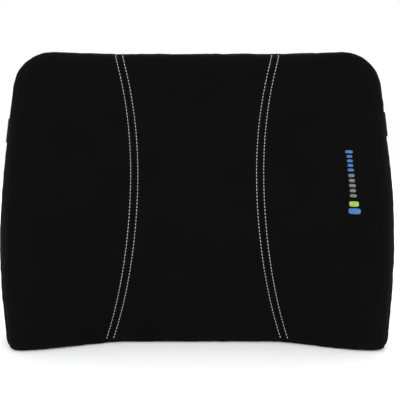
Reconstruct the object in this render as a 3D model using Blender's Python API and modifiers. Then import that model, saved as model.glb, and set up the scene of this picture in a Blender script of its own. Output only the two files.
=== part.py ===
"""Lumbar support cushion: contoured foam core, panelled cover with a back zip, elastic chair strap.

Lengths are millimetres in this file and metres in the scene. Seen from the front, +X is right,
+Z is up and the sitter's side faces -Y. The back plane lies at y = 0 until the last step, which
moves the whole assembly so that the world origin is under the middle of its bounding box.
"""
import math

import bmesh
import bpy
import numpy as np

MM = 0.001

# Overall form
WIDTH = 400.0
HEIGHT = 304.0
WIDEST_AT = 0.25  # share of the height
TOP_NARROWING = 0.041 * WIDTH  # each side, at the top edge
BASE_NARROWING = 0.007 * WIDTH  # each side, at the base
TOP_CORNER_R = 41.0
BASE_CORNER_R = 11.0
MID_DEPTH_BASE = 62.0
MID_DEPTH_APEX = 78.0
MID_DEPTH_TOP = 38.0
APEX_AT = 0.345
WING_RISE = 28.0  # how far the wings stand in front of the middle
WING_START_AT = 0.35  # share of the half width where the wings begin to rise
WING_CREST_AT = 0.9  # share of the half width
WING_FALL = 0.52  # share of the rise lost at the side edge
SIDE_SWEEP = 18.0  # how far the back curves forward at the sides
FLAT_HALF = 0.325 * WIDTH
EDGE_R = 20.0
EDGE_R_BASE = 8.25
EDGE_R_BACK = 8.0

# Cover
GAP = 0.3  # clearance between neighbouring pieces
FABRIC = 2.0
SEAM_WAIST = 0.16 * WIDTH  # half spacing of the two front seams
SEAM_TOP = 0.206 * WIDTH
SEAM_BASE = 0.2335 * WIDTH
WAIST_AT = 0.568
SEAM_TURN_TOP = 0.9  # where round the front edge the cover is joined, as a share of the quarter turn
SEAM_TURN_BASE = 0.25
BACK_SEAM_TURN = 2.5
STITCH_OFFSET = 3.65
THREAD_R = 0.35
THREAD_SIDES = 5
EMBLEM_WIDTH = 14.0
EMBLEM_HEIGHT = 64.0
EMBLEM_T = 0.8
EMBLEM_COLUMNS, EMBLEM_ROWS = 2, 6
EMBLEM_AT = (0.38 * WIDTH, 0.569 * HEIGHT)

# Zip
ZIP_Z = 40.0
ZIP_HALF = 0.3 * WIDTH
SLOT_HALF = 5.5
TAPE_T = 0.8
TAPE_W = 15.0
COIL_R = 0.7
COIL_OFFSET = 0.95
COIL_SIDES = 8
STOP_REACH = 2.5  # how far a stop's far side is past the zip's end
STOP_HALF = 2.0
TAPE_PAST_ZIP = 3.45
SLOT_PAST_ZIP = 3.5
SLIDER_LENGTH = 9.0
SLIDER_HALF = 3.6
SLIDER_TOP = 1.5
CHANNEL_HALF = 2.3  # of the channel the coils run in
FLANGE_TOP = 0.9
BRIDGE_REACH, BRIDGE_HALF, BRIDGE_BASE, BRIDGE_RISE = 2.4, 0.8, 1.0, 2.0
WINDOW_REACH, WINDOW_RISE, WINDOW_HALF = 1.4, 1.0, 2.0
PULL_LENGTH, PULL_HALF, PULL_T = 22.0, 3.2, 1.1
PULL_PAST_PIN = 0.6
EYE_FAR, EYE_NEAR, EYE_HALF, EYE_DEPTH = 4.6, 2.0, 1.5, 3.0
PIN_Y, PIN_R, PIN_HALF = 2.6, 0.6, 2.4

# Strap and buckle
WEBBING_W = 25.0
WEBBING_T = 1.6
STRAP_LEFT_AT = 0.734  # height of each sewn end, as a share of the height
STRAP_RIGHT_AT = 0.755
STRAP_MID_AT = 0.71
STRAP_STANDOFF = 30.0  # buckle's middle plane behind the back
STRAP_STRAIGHT = 0.245 * WIDTH
STRAP_Y = STRAP_STANDOFF
STRAP_Z = STRAP_MID_AT * HEIGHT
SEWN_TURNS = (1.25, 1.6, 2.0, 2.25, 2.5, 2.75, 3.0)  # round the edge, from the side wall to the back
LEAVES_BACK = 6.0  # distance inside the edge where the webbing starts to stand off the back
BEND_STEPS, FOLD_STEPS = 10, 8
BAR_R = 1.5
RAIL_IN = WEBBING_W / 2 + 1.0
RAIL_OUT = RAIL_IN + 2.5
BUCKLE_T = 9.0
FOLD = BAR_R + GAP + WEBBING_T / 2  # each layer's distance from the bar's axis
TAIL_LEFT = 30.0
TAIL_RIGHT = 71.0
BAR_LEFT = -28.25
BAR_RIGHT = 15.25

# Buckle and slide, from the strap's middle point: x along the strap, y off its plane, z up
HALF_T = BUCKLE_T / 2
SOCKET_X, SOCKET_TAIL = (-21.0, 2.0), -20.0
CAVITY = ((-16.0, 4.0), (-2.5, 2.5), (-12.5, 12.5))
WINDOWS = ((-9.9, -0.6), (-2.6, 2.6), (-20.0, 20.0))
PLUG_X, PLUG_TAIL = (2.5, 9.0), 8.0
TONGUE = ((-12.0, 4.0), (-2.0, 2.0), (-3.0, 3.0))
BUCKLE_EDGE = 1.2
RAIL_T = 5.0
BAR_PAST_RAIL = 0.8
ARM_PROFILE = [
    (1.9, 8.0), (-9.0, 8.0), (-9.6, 9.2), (-9.0, 12.0),
    (-6.6, 15.8), (-3.4, 15.8), (-2.6, 10.5), (1.9, 10.5),
]
ARM_PIVOT = (1.2, 9.25)
ARM_T = 4.0
GLIDE_X = 40.0
GLIDE_HALF = 13.0
GLIDE_LIP, GLIDE_TOP, GLIDE_EDGE = 2.0, 1.5, 0.8
GLIDE_BORDER = 2.5
GLIDE_BAR = (2.0, 1.4)  # half length and half thickness
LAYER = FOLD + WEBBING_T / 2 + GAP  # outside of a folded strap from its plane
CLEAR = 20.0  # how far cutting tools reach past what they cut

CORE_INSET = FABRIC + TAPE_T + 2 * GAP
HALF_GAP = GAP / 2
FRONT, BACK = 0.0, 3.0  # turns where the rim meets the two faces

for old in list(bpy.data.objects):
    bpy.data.objects.remove(old)
assembly = bpy.data.collections.new("lumbar_support_cushion")
tools = bpy.data.collections.new("cutting_tools")
bpy.context.scene.collection.children.link(assembly)
bpy.context.scene.collection.children.link(tools)
root = bpy.data.objects.new("cushion_root", None)
assembly.objects.link(root)


def material(name, colour, roughness):
    made = bpy.data.materials.new(name)
    made.use_nodes = True
    shader = made.node_tree.nodes["Principled BSDF"]
    shader.inputs["Base Color"].default_value = (*colour, 1.0)
    shader.inputs["Roughness"].default_value = roughness
    shader.inputs["Metallic"].default_value = 0.0
    made.diffuse_color = (*colour, 1.0)
    return made


COVER = material("cover_fabric", (0.012, 0.012, 0.013), 0.9)
REAR = material("back_fabric", (0.02, 0.02, 0.021), 0.9)
FOAM = material("memory_foam", (0.75, 0.72, 0.6), 0.85)
THREAD = material("grey_thread", (0.45, 0.45, 0.46), 0.7)
EMBLEM = material("emblem_thread", (0.05, 0.22, 0.55), 0.6)
TAPE = material("zip_tape", (0.015, 0.015, 0.016), 0.85)
COIL = material("zip_coil", (0.02, 0.02, 0.02), 0.4)
METAL = material("zip_metal", (0.05, 0.05, 0.05), 0.35)
METAL.node_tree.nodes["Principled BSDF"].inputs["Metallic"].default_value = 1.0
WEBBING = material("elastic_webbing", (0.014, 0.014, 0.015), 0.8)
PLASTIC = material("black_acetal", (0.02, 0.02, 0.02), 0.35)


# ---------------------------------------------------------------- shape of the cushion
def ease(t):
    t = min(max(t, 0.0), 1.0)
    return t * t * (3 - 2 * t)


def mix(a, b, t):
    return a + (b - a) * t


def half_width(z):
    widest = WIDEST_AT * HEIGHT
    if z >= widest:
        return WIDTH / 2 - TOP_NARROWING * ((z - widest) / (HEIGHT - widest)) ** 2
    return WIDTH / 2 - BASE_NARROWING * ((widest - z) / widest) ** 2


def middle_depth(z):
    apex = APEX_AT * HEIGHT
    if z < apex:
        return mix(MID_DEPTH_BASE, MID_DEPTH_APEX, ease(z / apex))
    return mix(MID_DEPTH_APEX, MID_DEPTH_TOP, ease((z - apex) / (HEIGHT - apex)))


def front_y(x, z):
    start, crest = WING_START_AT * WIDTH / 2, WING_CREST_AT * WIDTH / 2
    if abs(x) <= crest:
        wing = ease((abs(x) - start) / (crest - start))
    else:
        wing = 1 - WING_FALL * ((abs(x) - crest) / (WIDTH / 2 - crest)) ** 2
    return -middle_depth(z) - WING_RISE * wing


def back_y(x):
    return -SIDE_SWEEP * (max(abs(x) - FLAT_HALF, 0.0) / (WIDTH / 2 - FLAT_HALF)) ** 2


def seam_x(z):
    waist = WAIST_AT * HEIGHT
    if z >= waist:
        return mix(SEAM_WAIST, SEAM_TOP, ((z - waist) / (HEIGHT - waist)) ** 2)
    return mix(SEAM_WAIST, SEAM_BASE, ((waist - z) / waist) ** 2)


def side_normal(z):
    slope = (half_width(z + 0.01) - half_width(z - 0.01)) / 0.02
    return np.array([1.0, -slope]) / math.hypot(1.0, slope)


def corner(radius, at_top):
    """Height where a corner arc meets the side, and the arc's centre."""
    low, high = (HEIGHT * 0.5, HEIGHT) if at_top else (0.0, HEIGHT * 0.3)
    target = HEIGHT - radius if at_top else radius
    for _ in range(60):
        z = (low + high) / 2
        if z - radius * side_normal(z)[1] < target:
            low = z
        else:
            high = z
    centre = np.array([half_width(z), z]) - radius * side_normal(z)
    return z, centre


def build_outline():
    """Right half of the front silhouette from top centre to base centre, with its landmarks."""
    top_z, top_c = corner(TOP_CORNER_R, True)
    base_z, base_c = corner(BASE_CORNER_R, False)
    points, normals, marks = [], [], {}

    def arc(centre, radius, start, end):
        for a in np.linspace(start, end, 81):
            n = np.array([math.cos(a), math.sin(a)])
            points.append(centre + radius * n)
            normals.append(n)

    points.append(np.array([0.0, HEIGHT]))
    normals.append(np.array([0.0, 1.0]))
    marks["top_start"] = len(points)
    side = side_normal(top_z)
    arc(top_c, TOP_CORNER_R, math.pi / 2, math.atan2(side[1], side[0]))
    marks["top_mid"], marks["top_end"] = marks["top_start"] + 40, len(points) - 1
    for z in np.linspace(top_z, base_z, 301)[1:-1]:
        points.append(np.array([half_width(z), z]))
        normals.append(side_normal(z))
    marks["base_start"] = len(points)
    side = side_normal(base_z)
    arc(base_c, BASE_CORNER_R, math.atan2(side[1], side[0]), -math.pi / 2)
    marks["base_mid"], marks["base_end"] = marks["base_start"] + 40, len(points) - 1
    points.append(np.array([0.0, 0.0]))
    normals.append(np.array([0.0, -1.0]))
    points, normals = np.array(points), np.array(normals)
    length = np.concatenate([[0], np.cumsum(np.linalg.norm(np.diff(points, axis=0), axis=1))])
    return points, normals, length, {k: length[v] for k, v in marks.items()}


RIM, RIM_N, RIM_S, MARK = build_outline()
HALF_RIM = RIM_S[-1]


def outline(s):
    """Point on the silhouette and its inward normal; s runs from top centre, negative on the left."""
    side = -1.0 if s < 0 else 1.0
    s = abs(s)
    if s > HALF_RIM:
        s, side = 2 * HALF_RIM - s, -side
    x, z = np.interp(s, RIM_S, RIM[:, 0]), np.interp(s, RIM_S, RIM[:, 1])
    nx, nz = np.interp(s, RIM_S, RIM_N[:, 0]), np.interp(s, RIM_S, RIM_N[:, 1])
    size = math.hypot(nx, nz)
    return side * x, z, -side * nx / size, -nz / size


def low_to_high(z):
    return ease((z - 1.2 * BASE_CORNER_R) / (0.4 * HEIGHT - 1.2 * BASE_CORNER_R))


def edge_radius(z):
    return mix(EDGE_R_BASE, EDGE_R, low_to_high(z))


def seam_turn(s):
    return mix(SEAM_TURN_BASE, SEAM_TURN_TOP, low_to_high(outline(s)[1]))


def locate(address, depth):
    """Place a surface address at a depth below the skin.

    ("front", x, z) and ("back", x, z) are on the faces. ("rim", s, turn) is round the edge:
    turn 0-1 is the front rounding, 1-2 the side wall, 2-3 the rear rounding.
    """
    kind, a, b = address
    if kind == "front":
        return a, front_y(a, b) + depth, b
    if kind == "back":
        return a, back_y(a) - depth, b
    x, z, nx, nz = outline(a)
    radius = edge_radius(z)
    if b <= 1:
        angle = b * math.pi / 2
        inset = radius - (radius - depth) * math.sin(angle)
        x, z = x + nx * inset, z + nz * inset
        return x, front_y(x, z) + radius - (radius - depth) * math.cos(angle), z
    if b <= 2:
        x, z = x + nx * depth, z + nz * depth
        return x, mix(front_y(x, z) + radius, back_y(x) - EDGE_R_BACK, b - 1), z
    angle = (3 - b) * math.pi / 2
    inset = EDGE_R_BACK - (EDGE_R_BACK - depth) * math.sin(angle)
    x, z = x + nx * inset, z + nz * inset
    return x, back_y(x) - EDGE_R_BACK + (EDGE_R_BACK - depth) * math.cos(angle), z


# ---------------------------------------------------------------- grids of addresses
def between(a, b, count):
    return [mix(a, b, i / count) for i in range(count + 1)]


def base_s(x):
    return math.copysign(HALF_RIM - abs(x), x) if x else HALF_RIM


SIDE_RUN = (
    between(MARK["top_mid"], MARK["top_end"], 2)
    + between(MARK["top_end"], MARK["base_start"], 14)[1:]
    + between(MARK["base_start"], MARK["base_mid"], 2)[1:]
)


def top_run(x, count):
    return between(x, MARK["top_start"], count) + between(MARK["top_start"], MARK["top_mid"], 2)[1:]


def base_run(x, count):
    start = HALF_RIM - x
    return between(start, MARK["base_end"], count) + between(MARK["base_end"], MARK["base_mid"], 2)[1:]


def side_s(z, turn):
    """Distance round the rim where the side rim, at this turn, is at height z."""
    low, high = MARK["top_end"], MARK["base_start"]
    for _ in range(50):
        s = (low + high) / 2
        if locate(("rim", s, turn), 0.0)[2] > z:
            low = s
        else:
            high = s
    return s


def mirrored(grid):
    return [[(k, -a, b) for k, a, b in row] for row in grid]


def coons(face, inner, side, base, top):
    """Patch of face addresses inside four edges: inner (x, z) line, then rim or (x, z) edges."""
    def plane(edge):
        return [np.array(p[1:]) if p[0] != "rim" else np.array(locate(p, 0.0))[[0, 2]] for p in edge]
    L, R, B, T = plane(inner), plane(side), plane(base), plane(top)
    rows, cols = len(L) - 1, len(B) - 1
    grid = []
    for j in range(rows + 1):
        v, row = j / rows, []
        for i in range(cols + 1):
            u = i / cols
            p = (1 - v) * B[i] + v * T[i] + (1 - u) * L[j] + u * R[j]
            p = p - ((1 - u) * ((1 - v) * B[0] + v * T[0]) + u * ((1 - v) * B[cols] + v * T[cols]))
            row.append((face, float(p[0]), float(p[1])))
        grid.append(row)
    for j in range(rows + 1):
        grid[j][0], grid[j][cols] = inner[j], side[j]
    grid[0], grid[rows] = base, top
    return grid


STEPS = 3
SIDE_COLUMNS = 8  # from a front seam to the corner
HALF_COLUMNS = 8  # from the middle to a front seam
SWEEP_COLUMNS = 5  # from the flat of the back to its side edge
EDGE_COLUMNS = 3  # from the flat of the back to the corner
SIDE_SPARE = 4.0  # smallest run between the zip line and the next node of the side


def turn_at(face, end, share):
    """Turn reached at a share of the way from a face's edge to its end turn."""
    return end * share if face == "front" else BACK - (BACK - end) * share


def edge_heights(face, end, share):
    """Heights of the base and top roundings at a share of the way to the end turn."""
    low, high = (edge_radius(0), EDGE_R) if face == "front" else (EDGE_R_BACK, EDGE_R_BACK)
    heights = []
    for radius, s in ((low, HALF_RIM), (high, 0.0)):
        turn = turn_at(face, end(s), share)
        angle = (turn if face == "front" else BACK - turn) * math.pi / 2
        heights.append(radius * (1 - math.sin(angle)))
    return heights[0], HEIGHT - heights[1]


def row_heights(face):
    """Heights of a face's rows along the seam, matched to the nodes down the side."""
    rim_z = [locate(("rim", s, FRONT if face == "front" else BACK), 0.0)[2] for s in reversed(SIDE_RUN)]
    base, top = edge_heights(face, seam_turn, 0.0)
    return [mix(base, top, (z - rim_z[0]) / (rim_z[-1] - rim_z[0])) for z in rim_z]


def skin_side(face, offset, end):
    """Right part of a face from the seam line (moved by offset) round to the end turn, as two grids."""
    def rim_path(share):
        base_z, top_z = edge_heights(face, end, share)
        top_side = top_run(seam_x(top_z) + offset, SIDE_COLUMNS)
        runs = (top_side, SIDE_RUN, base_run(seam_x(base_z) + offset, SIDE_COLUMNS))
        return [[("rim", s, turn_at(face, end(s), share)) for s in run] for run in runs]

    top, side, base = rim_path(0.0)
    heights = row_heights(face)[1:-1]
    inner = [base[0]] + [(face, seam_x(z) + offset, z) for z in heights] + [top[0]]
    strip = []
    for step in range(STEPS + 1):
        one, two, three = rim_path(step / STEPS)
        strip.append(one + two[1:] + three[::-1][1:])
    return [coons(face, inner, side[::-1], base, top), strip]


def skin_middle(face, offset, end):
    """Middle of a face between the two seam lines, round to the end turn at the top and base."""
    across = between(-1, 1, 2 * HALF_COLUMNS)
    heights = row_heights(face)
    grid = []
    for step in range(STEPS, -1, -1):
        z = edge_heights(face, end, step / STEPS)[0]
        turn = turn_at(face, end(HALF_RIM), step / STEPS)
        grid.append([("rim", base_s(u * (seam_x(z) + offset)), turn) for u in across])
    for z in heights[1:-1]:
        grid.append([(face, u * (seam_x(z) + offset), z) for u in across])
    for step in range(STEPS + 1):
        z = edge_heights(face, end, step / STEPS)[1]
        turn = turn_at(face, end(0.0), step / STEPS)
        grid.append([("rim", u * (seam_x(z) + offset), turn) for u in across])
    return [grid]


def back_grids(low_z, high_z, end_turn):
    """Back face between two heights, or to the rim where a height is None, out to end_turn."""
    low_s = side_s(low_z, BACK) if low_z is not None else None
    high_s = side_s(high_z, BACK) if high_z is not None else None
    first = high_s + SIDE_SPARE if high_s is not None else 0.0
    last = low_s - SIDE_SPARE if low_s is not None else HALF_RIM
    side = [s for s in SIDE_RUN if first < s < last]
    side = ([high_s] if high_s is not None else []) + side + ([low_s] if low_s is not None else [])
    right = [("rim", s, BACK) for s in side]
    top_z = high_z if high_z is not None else HEIGHT - EDGE_R_BACK
    base_z = low_z if low_z is not None else EDGE_R_BACK
    rim_z = [locate(p, 0.0)[2] for p in right[::-1]]
    share = [(z - rim_z[0]) / (rim_z[-1] - rim_z[0]) for z in rim_z]
    heights = [mix(base_z, top_z, t) for t in share]
    top_path = top_run(FLAT_HALF, EDGE_COLUMNS)
    base_path = base_run(FLAT_HALF, EDGE_COLUMNS)

    def straight(z, s):
        end = locate(("rim", s, BACK), 0.0)[0]
        return [("back", x, z) for x in between(FLAT_HALF, end, SWEEP_COLUMNS)[:-1]] + [("rim", s, BACK)]

    top = [("rim", s, BACK) for s in top_path] if high_z is None else straight(high_z, high_s)
    base = [("rim", s, BACK) for s in base_path] if low_z is None else straight(low_z, low_s)
    inner = [base[0]] + [("back", FLAT_HALF, z) for z in heights[1:-1]] + [top[0]]
    patch = coons("back", inner, right[::-1], base, top)
    flat = [[(k, -a, b), (k, a, b)] for k, a, b in inner]
    grids = [flat, patch, mirrored(patch)]
    path = (top_path[:-1] if high_z is None else []) + side
    path += base_path[::-1][1:] if low_z is None else []
    turns = between(BACK, end_turn, 2)
    strip = [[("rim", s, t) for s in path] for t in turns]
    grids += [strip, mirrored(strip)]
    if high_z is None:
        grids.append([[("rim", -FLAT_HALF, t), ("rim", FLAT_HALF, t)] for t in turns])
    if low_z is None:
        grids.append([[("rim", -base_path[0], t), ("rim", base_path[0], t)] for t in turns])
    return grids


def gusset_grid(path):
    """Band round the edge from the front seam to the back seam."""
    grid = []
    for s in path:
        first = seam_turn(s)
        first += HALF_GAP / (edge_radius(outline(s)[1]) * math.pi / 2)
        last = BACK_SEAM_TURN - HALF_GAP / (EDGE_R_BACK * math.pi / 2)
        grid.append([("rim", s, t) for t in (first, (first + 1) / 2, 1.0, 2.0, 2.25, last)])
    return [grid]


# ---------------------------------------------------------------- solids from grids and rings
def finish_mesh(name, shape, slot, origin=(0.0, 0.0, 0.0), parent=root, smooth=True):
    """Add a closed bmesh (in millimetres) as an object with its origin where asked."""
    bmesh.ops.recalc_face_normals(shape, faces=shape.faces)
    if shape.calc_volume(signed=True) < 0:
        bmesh.ops.reverse_faces(shape, faces=shape.faces)
    for v in shape.verts:
        v.co = [(c - o) * MM for c, o in zip(v.co, origin)]
    mesh = bpy.data.meshes.new(name)
    shape.to_mesh(mesh)
    shape.free()
    if smooth:
        mesh.shade_smooth()
    mesh.materials.append(slot)
    made = bpy.data.objects.new(name, mesh)
    assembly.objects.link(made)
    made.parent = parent
    base = np.zeros(3) if parent is root else np.array(parent["origin_mm"])
    made.location = [(o - b) * MM for o, b in zip(origin, base)]
    made["origin_mm"] = list(origin)
    return made


def sheet_solid(name, grids, outer, inner, slot):
    """Closed sheet between two depths. An inner depth of None makes a solid of a closed skin."""
    shape, index = bmesh.new(), {}

    def vertex(address, depth):
        kind, a, b = address
        if kind == "rim" and abs(abs(a) - HALF_RIM) < 1e-6:
            a = HALF_RIM
        key = (kind, round(a, 5) + 0.0, round(b, 5), depth)
        if key not in index:
            index[key] = shape.verts.new(locate(address, depth))
        return index[key]

    for grid in grids:
        for low, high in zip(grid, grid[1:]):
            for corners in zip(low, low[1:], high[1:], high):
                shape.faces.new([vertex(c, outer) for c in corners])
                if inner is not None:
                    shape.faces.new([vertex(c, inner) for c in reversed(corners)])
    if inner is not None:
        twin = {index[key]: index[key[:3] + (inner,)] for key in index if key[3] == outer}
        for edge in [e for e in shape.edges if len(e.link_faces) == 1 and e.verts[0] in twin]:
            a, b = edge.verts
            if len(edge.link_faces) == 1:
                shape.faces.new([a, b, twin[b], twin[a]])
    return finish_mesh(name, shape, slot)


def loft(name, rings, slot, smooth=True):
    """Closed solid through rings of points, capped at both ends."""
    shape = bmesh.new()
    loops = [[shape.verts.new(p) for p in ring] for ring in rings]
    for one, two in zip(loops, loops[1:]):
        for i in range(len(one)):
            j = (i + 1) % len(one)
            shape.faces.new([one[i], one[j], two[j], two[i]])
    shape.faces.new(loops[0][::-1])
    shape.faces.new(loops[-1])
    return finish_mesh(name, shape, slot, smooth=smooth)


def block(name, low, high, slot=None, origin=None, parent=root, bevel=0.0):
    """Rectangular solid between two corners. With no slot it is a hidden cutting tool."""
    low, high = np.array(low, float), np.array(high, float)
    origin = (low + high) / 2 if origin is None else np.array(origin, float)
    shape = bmesh.new()
    bmesh.ops.create_cube(shape, size=1.0)
    for v in shape.verts:
        v.co = [mix(a, b, c + 0.5) for a, b, c in zip(low, high, v.co)]
    made = finish_mesh(name, shape, slot or PLASTIC, origin, parent, smooth=False)
    if bevel:
        edge = made.modifiers.new("rounded_edges", "BEVEL")
        edge.width, edge.segments, edge.limit_method = bevel * MM, 2, "NONE"
    if slot is None:
        as_tool(made)
    return made


def rod(name, centre, radius, half, axis, slot=None, sides=16):
    """Round bar along X or Z. With no slot it is a hidden cutting tool."""
    shape = bmesh.new()
    bmesh.ops.create_cone(
        shape, cap_ends=True, segments=sides, radius1=radius, radius2=radius, depth=2 * half
    )
    for v in shape.verts:
        x, y, z = v.co
        v.co = np.array(centre) + ((z, y, -x) if axis == "X" else (x, y, z))
    made = finish_mesh(name, shape, slot or PLASTIC, centre)
    if slot is None:
        as_tool(made)
    return made


def as_tool(made):
    assembly.objects.unlink(made)
    tools.objects.link(made)
    made.hide_render = True
    made.display_type = "WIRE"


def combine(target, operation, tool):
    change = target.modifiers.new(tool.name, "BOOLEAN")
    change.operation, change.object, change.solver = operation, tool, "EXACT"


# ---------------------------------------------------------------- cover and core
def panel_end(s):
    """Turn where the front panels stop, half a gap short of the seam."""
    return seam_turn(s) - HALF_GAP / (edge_radius(outline(s)[1]) * math.pi / 2)


right = skin_side("front", HALF_GAP, panel_end)
sheet_solid("front_right_panel", right, 0.0, FABRIC, COVER)
sheet_solid("front_left_panel", [mirrored(g) for g in right], 0.0, FABRIC, COVER)
sheet_solid("front_centre_panel", skin_middle("front", -HALF_GAP, panel_end), 0.0, FABRIC, COVER)


NODE_SPARE = 1.0  # nodes of two runs nearer than this count as one


def merged(*runs):
    """All nodes of several runs in order, without near repeats."""
    kept = []
    for s in sorted(s for run in runs for s in run):
        if not kept or s - kept[-1] > NODE_SPARE:
            kept.append(s)
    return kept


base_z, top_z = edge_heights("front", panel_end, 1.0)
top_middle = between(0.0, seam_x(top_z), HALF_COLUMNS)
top_side = top_run(seam_x(top_z), SIDE_COLUMNS)
top_half = merged(top_middle, top_side, top_run(FLAT_HALF, EDGE_COLUMNS))
top_half[-1] = MARK["top_mid"] - HALF_GAP
side_path = [MARK["top_mid"] + HALF_GAP] + SIDE_RUN[1:-1] + [MARK["base_mid"] - HALF_GAP]
base_middle = [HALF_RIM - x for x in between(0.0, seam_x(base_z), HALF_COLUMNS)]
base_side = base_run(seam_x(base_z), SIDE_COLUMNS)
base_half = merged(base_middle, base_side, base_run(FLAT_HALF, EDGE_COLUMNS))[::-1]
base_half[-1] = MARK["base_mid"] + HALF_GAP
sheet_solid("top_gusset", gusset_grid([-s for s in top_half[:0:-1]] + top_half), 0.0, FABRIC, COVER)
sheet_solid("base_gusset", gusset_grid([-s for s in base_half[:0:-1]] + base_half), 0.0, FABRIC, COVER)
side_band = gusset_grid(side_path)
sheet_solid("side_gusset_right", side_band, 0.0, FABRIC, COVER)
sheet_solid("side_gusset_left", [mirrored(g) for g in side_band], 0.0, FABRIC, COVER)

back_edge = BACK_SEAM_TURN + HALF_GAP / (EDGE_R_BACK * math.pi / 2)
upper = sheet_solid("back_upper_panel", back_grids(ZIP_Z + HALF_GAP, None, back_edge), 0.0, FABRIC, REAR)
lower = sheet_solid("back_lower_panel", back_grids(None, ZIP_Z - HALF_GAP, back_edge), 0.0, FABRIC, REAR)
slot_reach = ZIP_HALF + SLOT_PAST_ZIP
slot_low = (-slot_reach, -2 * FABRIC, ZIP_Z - SLOT_HALF)
slot_cut = block("zip_slot_tool", slot_low, (slot_reach, FABRIC, ZIP_Z + SLOT_HALF))
combine(upper, "DIFFERENCE", slot_cut)
combine(lower, "DIFFERENCE", slot_cut)

core = []
for face, side_end in (("front", 1.0), ("back", 2.0)):
    half = skin_side(face, 0.0, lambda s, end=side_end: end)
    core += skin_middle(face, 0.0, lambda s, end=side_end: end) + half + [mirrored(g) for g in half]
wall_half = between(0.0, seam_x(HEIGHT), HALF_COLUMNS)
wall_half += top_run(seam_x(HEIGHT), SIDE_COLUMNS)[1:] + SIDE_RUN[1:]
wall_half += base_run(seam_x(0.0), SIDE_COLUMNS)[::-1][1:]
wall_half += [HALF_RIM - x for x in between(seam_x(0.0), 0.0, HALF_COLUMNS)[1:]]
wall = [[("rim", s, turn) for s in wall_half] for turn in (1.0, 2.0)]
core += [wall, mirrored(wall)]
sheet_solid("foam_core", core, CORE_INSET, None, FOAM)


# ---------------------------------------------------------------- topstitching and emblem
def thread(name, side, offset):
    """One row of topstitching, a fine cord just off the front seam."""
    path = []
    for step in range(STEPS, 0, -1):
        share = step / STEPS
        z = edge_heights("front", panel_end, share)[0]
        turn = turn_at("front", panel_end(HALF_RIM), share)
        path.append(("rim", base_s(side * (seam_x(z) + offset)), turn))
    heights = row_heights("front")
    path += [("front", side * (seam_x(z) + offset), z) for z in heights]
    for step in range(1, STEPS + 1):
        share = step / STEPS
        z = edge_heights("front", panel_end, share)[1]
        path.append(("rim", side * (seam_x(z) + offset), turn_at("front", panel_end(0.0), share)))
    lift = GAP + THREAD_R
    centre = [np.array(locate(p, -lift)) for p in path]
    skin = [np.array(locate(p, 0.0)) for p in path]
    rings = []
    for c, s in zip(centre, skin):
        out = (c - s) / np.linalg.norm(c - s)
        across = np.array([1.0, 0.0, 0.0])
        angles = [i * math.tau / THREAD_SIDES for i in range(THREAD_SIDES)]
        rings.append([c + THREAD_R * (math.cos(a) * across + math.sin(a) * out) for a in angles])
    loft(name, rings, THREAD)


thread("topstitch_left_outer", -1, STITCH_OFFSET)
thread("topstitch_left_inner", -1, -STITCH_OFFSET)
thread("topstitch_right_inner", 1, -STITCH_OFFSET)
thread("topstitch_right_outer", 1, STITCH_OFFSET)

emblem_left, emblem_low = EMBLEM_AT[0] - EMBLEM_WIDTH / 2, EMBLEM_AT[1] - EMBLEM_HEIGHT / 2
emblem_x = between(emblem_left, emblem_left + EMBLEM_WIDTH, EMBLEM_COLUMNS)
emblem_z = between(emblem_low, emblem_low + EMBLEM_HEIGHT, EMBLEM_ROWS)
patch = [[("front", x, z) for x in emblem_x] for z in emblem_z]
sheet_solid("emblem_patch", [patch], -2 * GAP - EMBLEM_T, -2 * GAP, EMBLEM)

# ---------------------------------------------------------------- zip in the lower back
tape_face = -FABRIC - GAP
tape_half = ZIP_HALF + TAPE_PAST_ZIP
for name, side in (("upper", 1), ("lower", -1)):
    z = sorted((ZIP_Z + side * HALF_GAP, ZIP_Z + side * TAPE_W))
    tape_low = (-tape_half, tape_face - TAPE_T, z[0])
    block("zip_tape_" + name, tape_low, (tape_half, tape_face, z[1]), TAPE)
    centre = (0.0, tape_face + GAP + COIL_R, ZIP_Z + side * COIL_OFFSET)
    rod("zip_coil_" + name, centre, COIL_R, ZIP_HALF, "X", COIL, COIL_SIDES)
stop_low = tape_face + GAP
for name, side in (("left", -1), ("right", 1)):
    x = sorted((side * (ZIP_HALF + GAP), side * (ZIP_HALF + STOP_REACH)))
    stop_high = (x[1], stop_low + 2 * COIL_R, ZIP_Z + STOP_HALF)
    block("zip_stop_" + name, (x[0], stop_low, ZIP_Z - STOP_HALF), stop_high, METAL)

pin = (ZIP_HALF - SLIDER_LENGTH / 2 - GAP, PIN_Y, ZIP_Z)


def zip_block(name, x, y, half_z, slot=None):
    """Block round the pull's pin: x from the pin, y from the back plane, z evenly about the zip."""
    low, high = (pin[0] + x[0], y[0], ZIP_Z - half_z), (pin[0] + x[1], y[1], ZIP_Z + half_z)
    return block(name, low, high, slot, origin=pin)


body_x = (-SLIDER_LENGTH / 2, SLIDER_LENGTH / 2)
slider = zip_block("zip_slider", body_x, (GAP, SLIDER_TOP), SLIDER_HALF, METAL)
for tag, side in (("low", -1), ("high", 1)):
    z = sorted((ZIP_Z + side * CHANNEL_HALF, ZIP_Z + side * SLIDER_HALF))
    flange_low = (pin[0] + body_x[0], tape_face + GAP, z[0])
    flange = block("slider_flange_" + tag, flange_low, (pin[0] + body_x[1], FLANGE_TOP, z[1]))
    combine(slider, "UNION", flange)
bridge_y = (BRIDGE_BASE, PIN_Y + BRIDGE_RISE)
bridge = zip_block("slider_bridge", (-BRIDGE_REACH, BRIDGE_REACH), bridge_y, BRIDGE_HALF)
combine(slider, "UNION", bridge)
window_y = (PIN_Y - WINDOW_RISE, PIN_Y + WINDOW_RISE)
window = zip_block("slider_window", (-WINDOW_REACH, WINDOW_REACH), window_y, WINDOW_HALF)
combine(slider, "DIFFERENCE", window)

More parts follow.
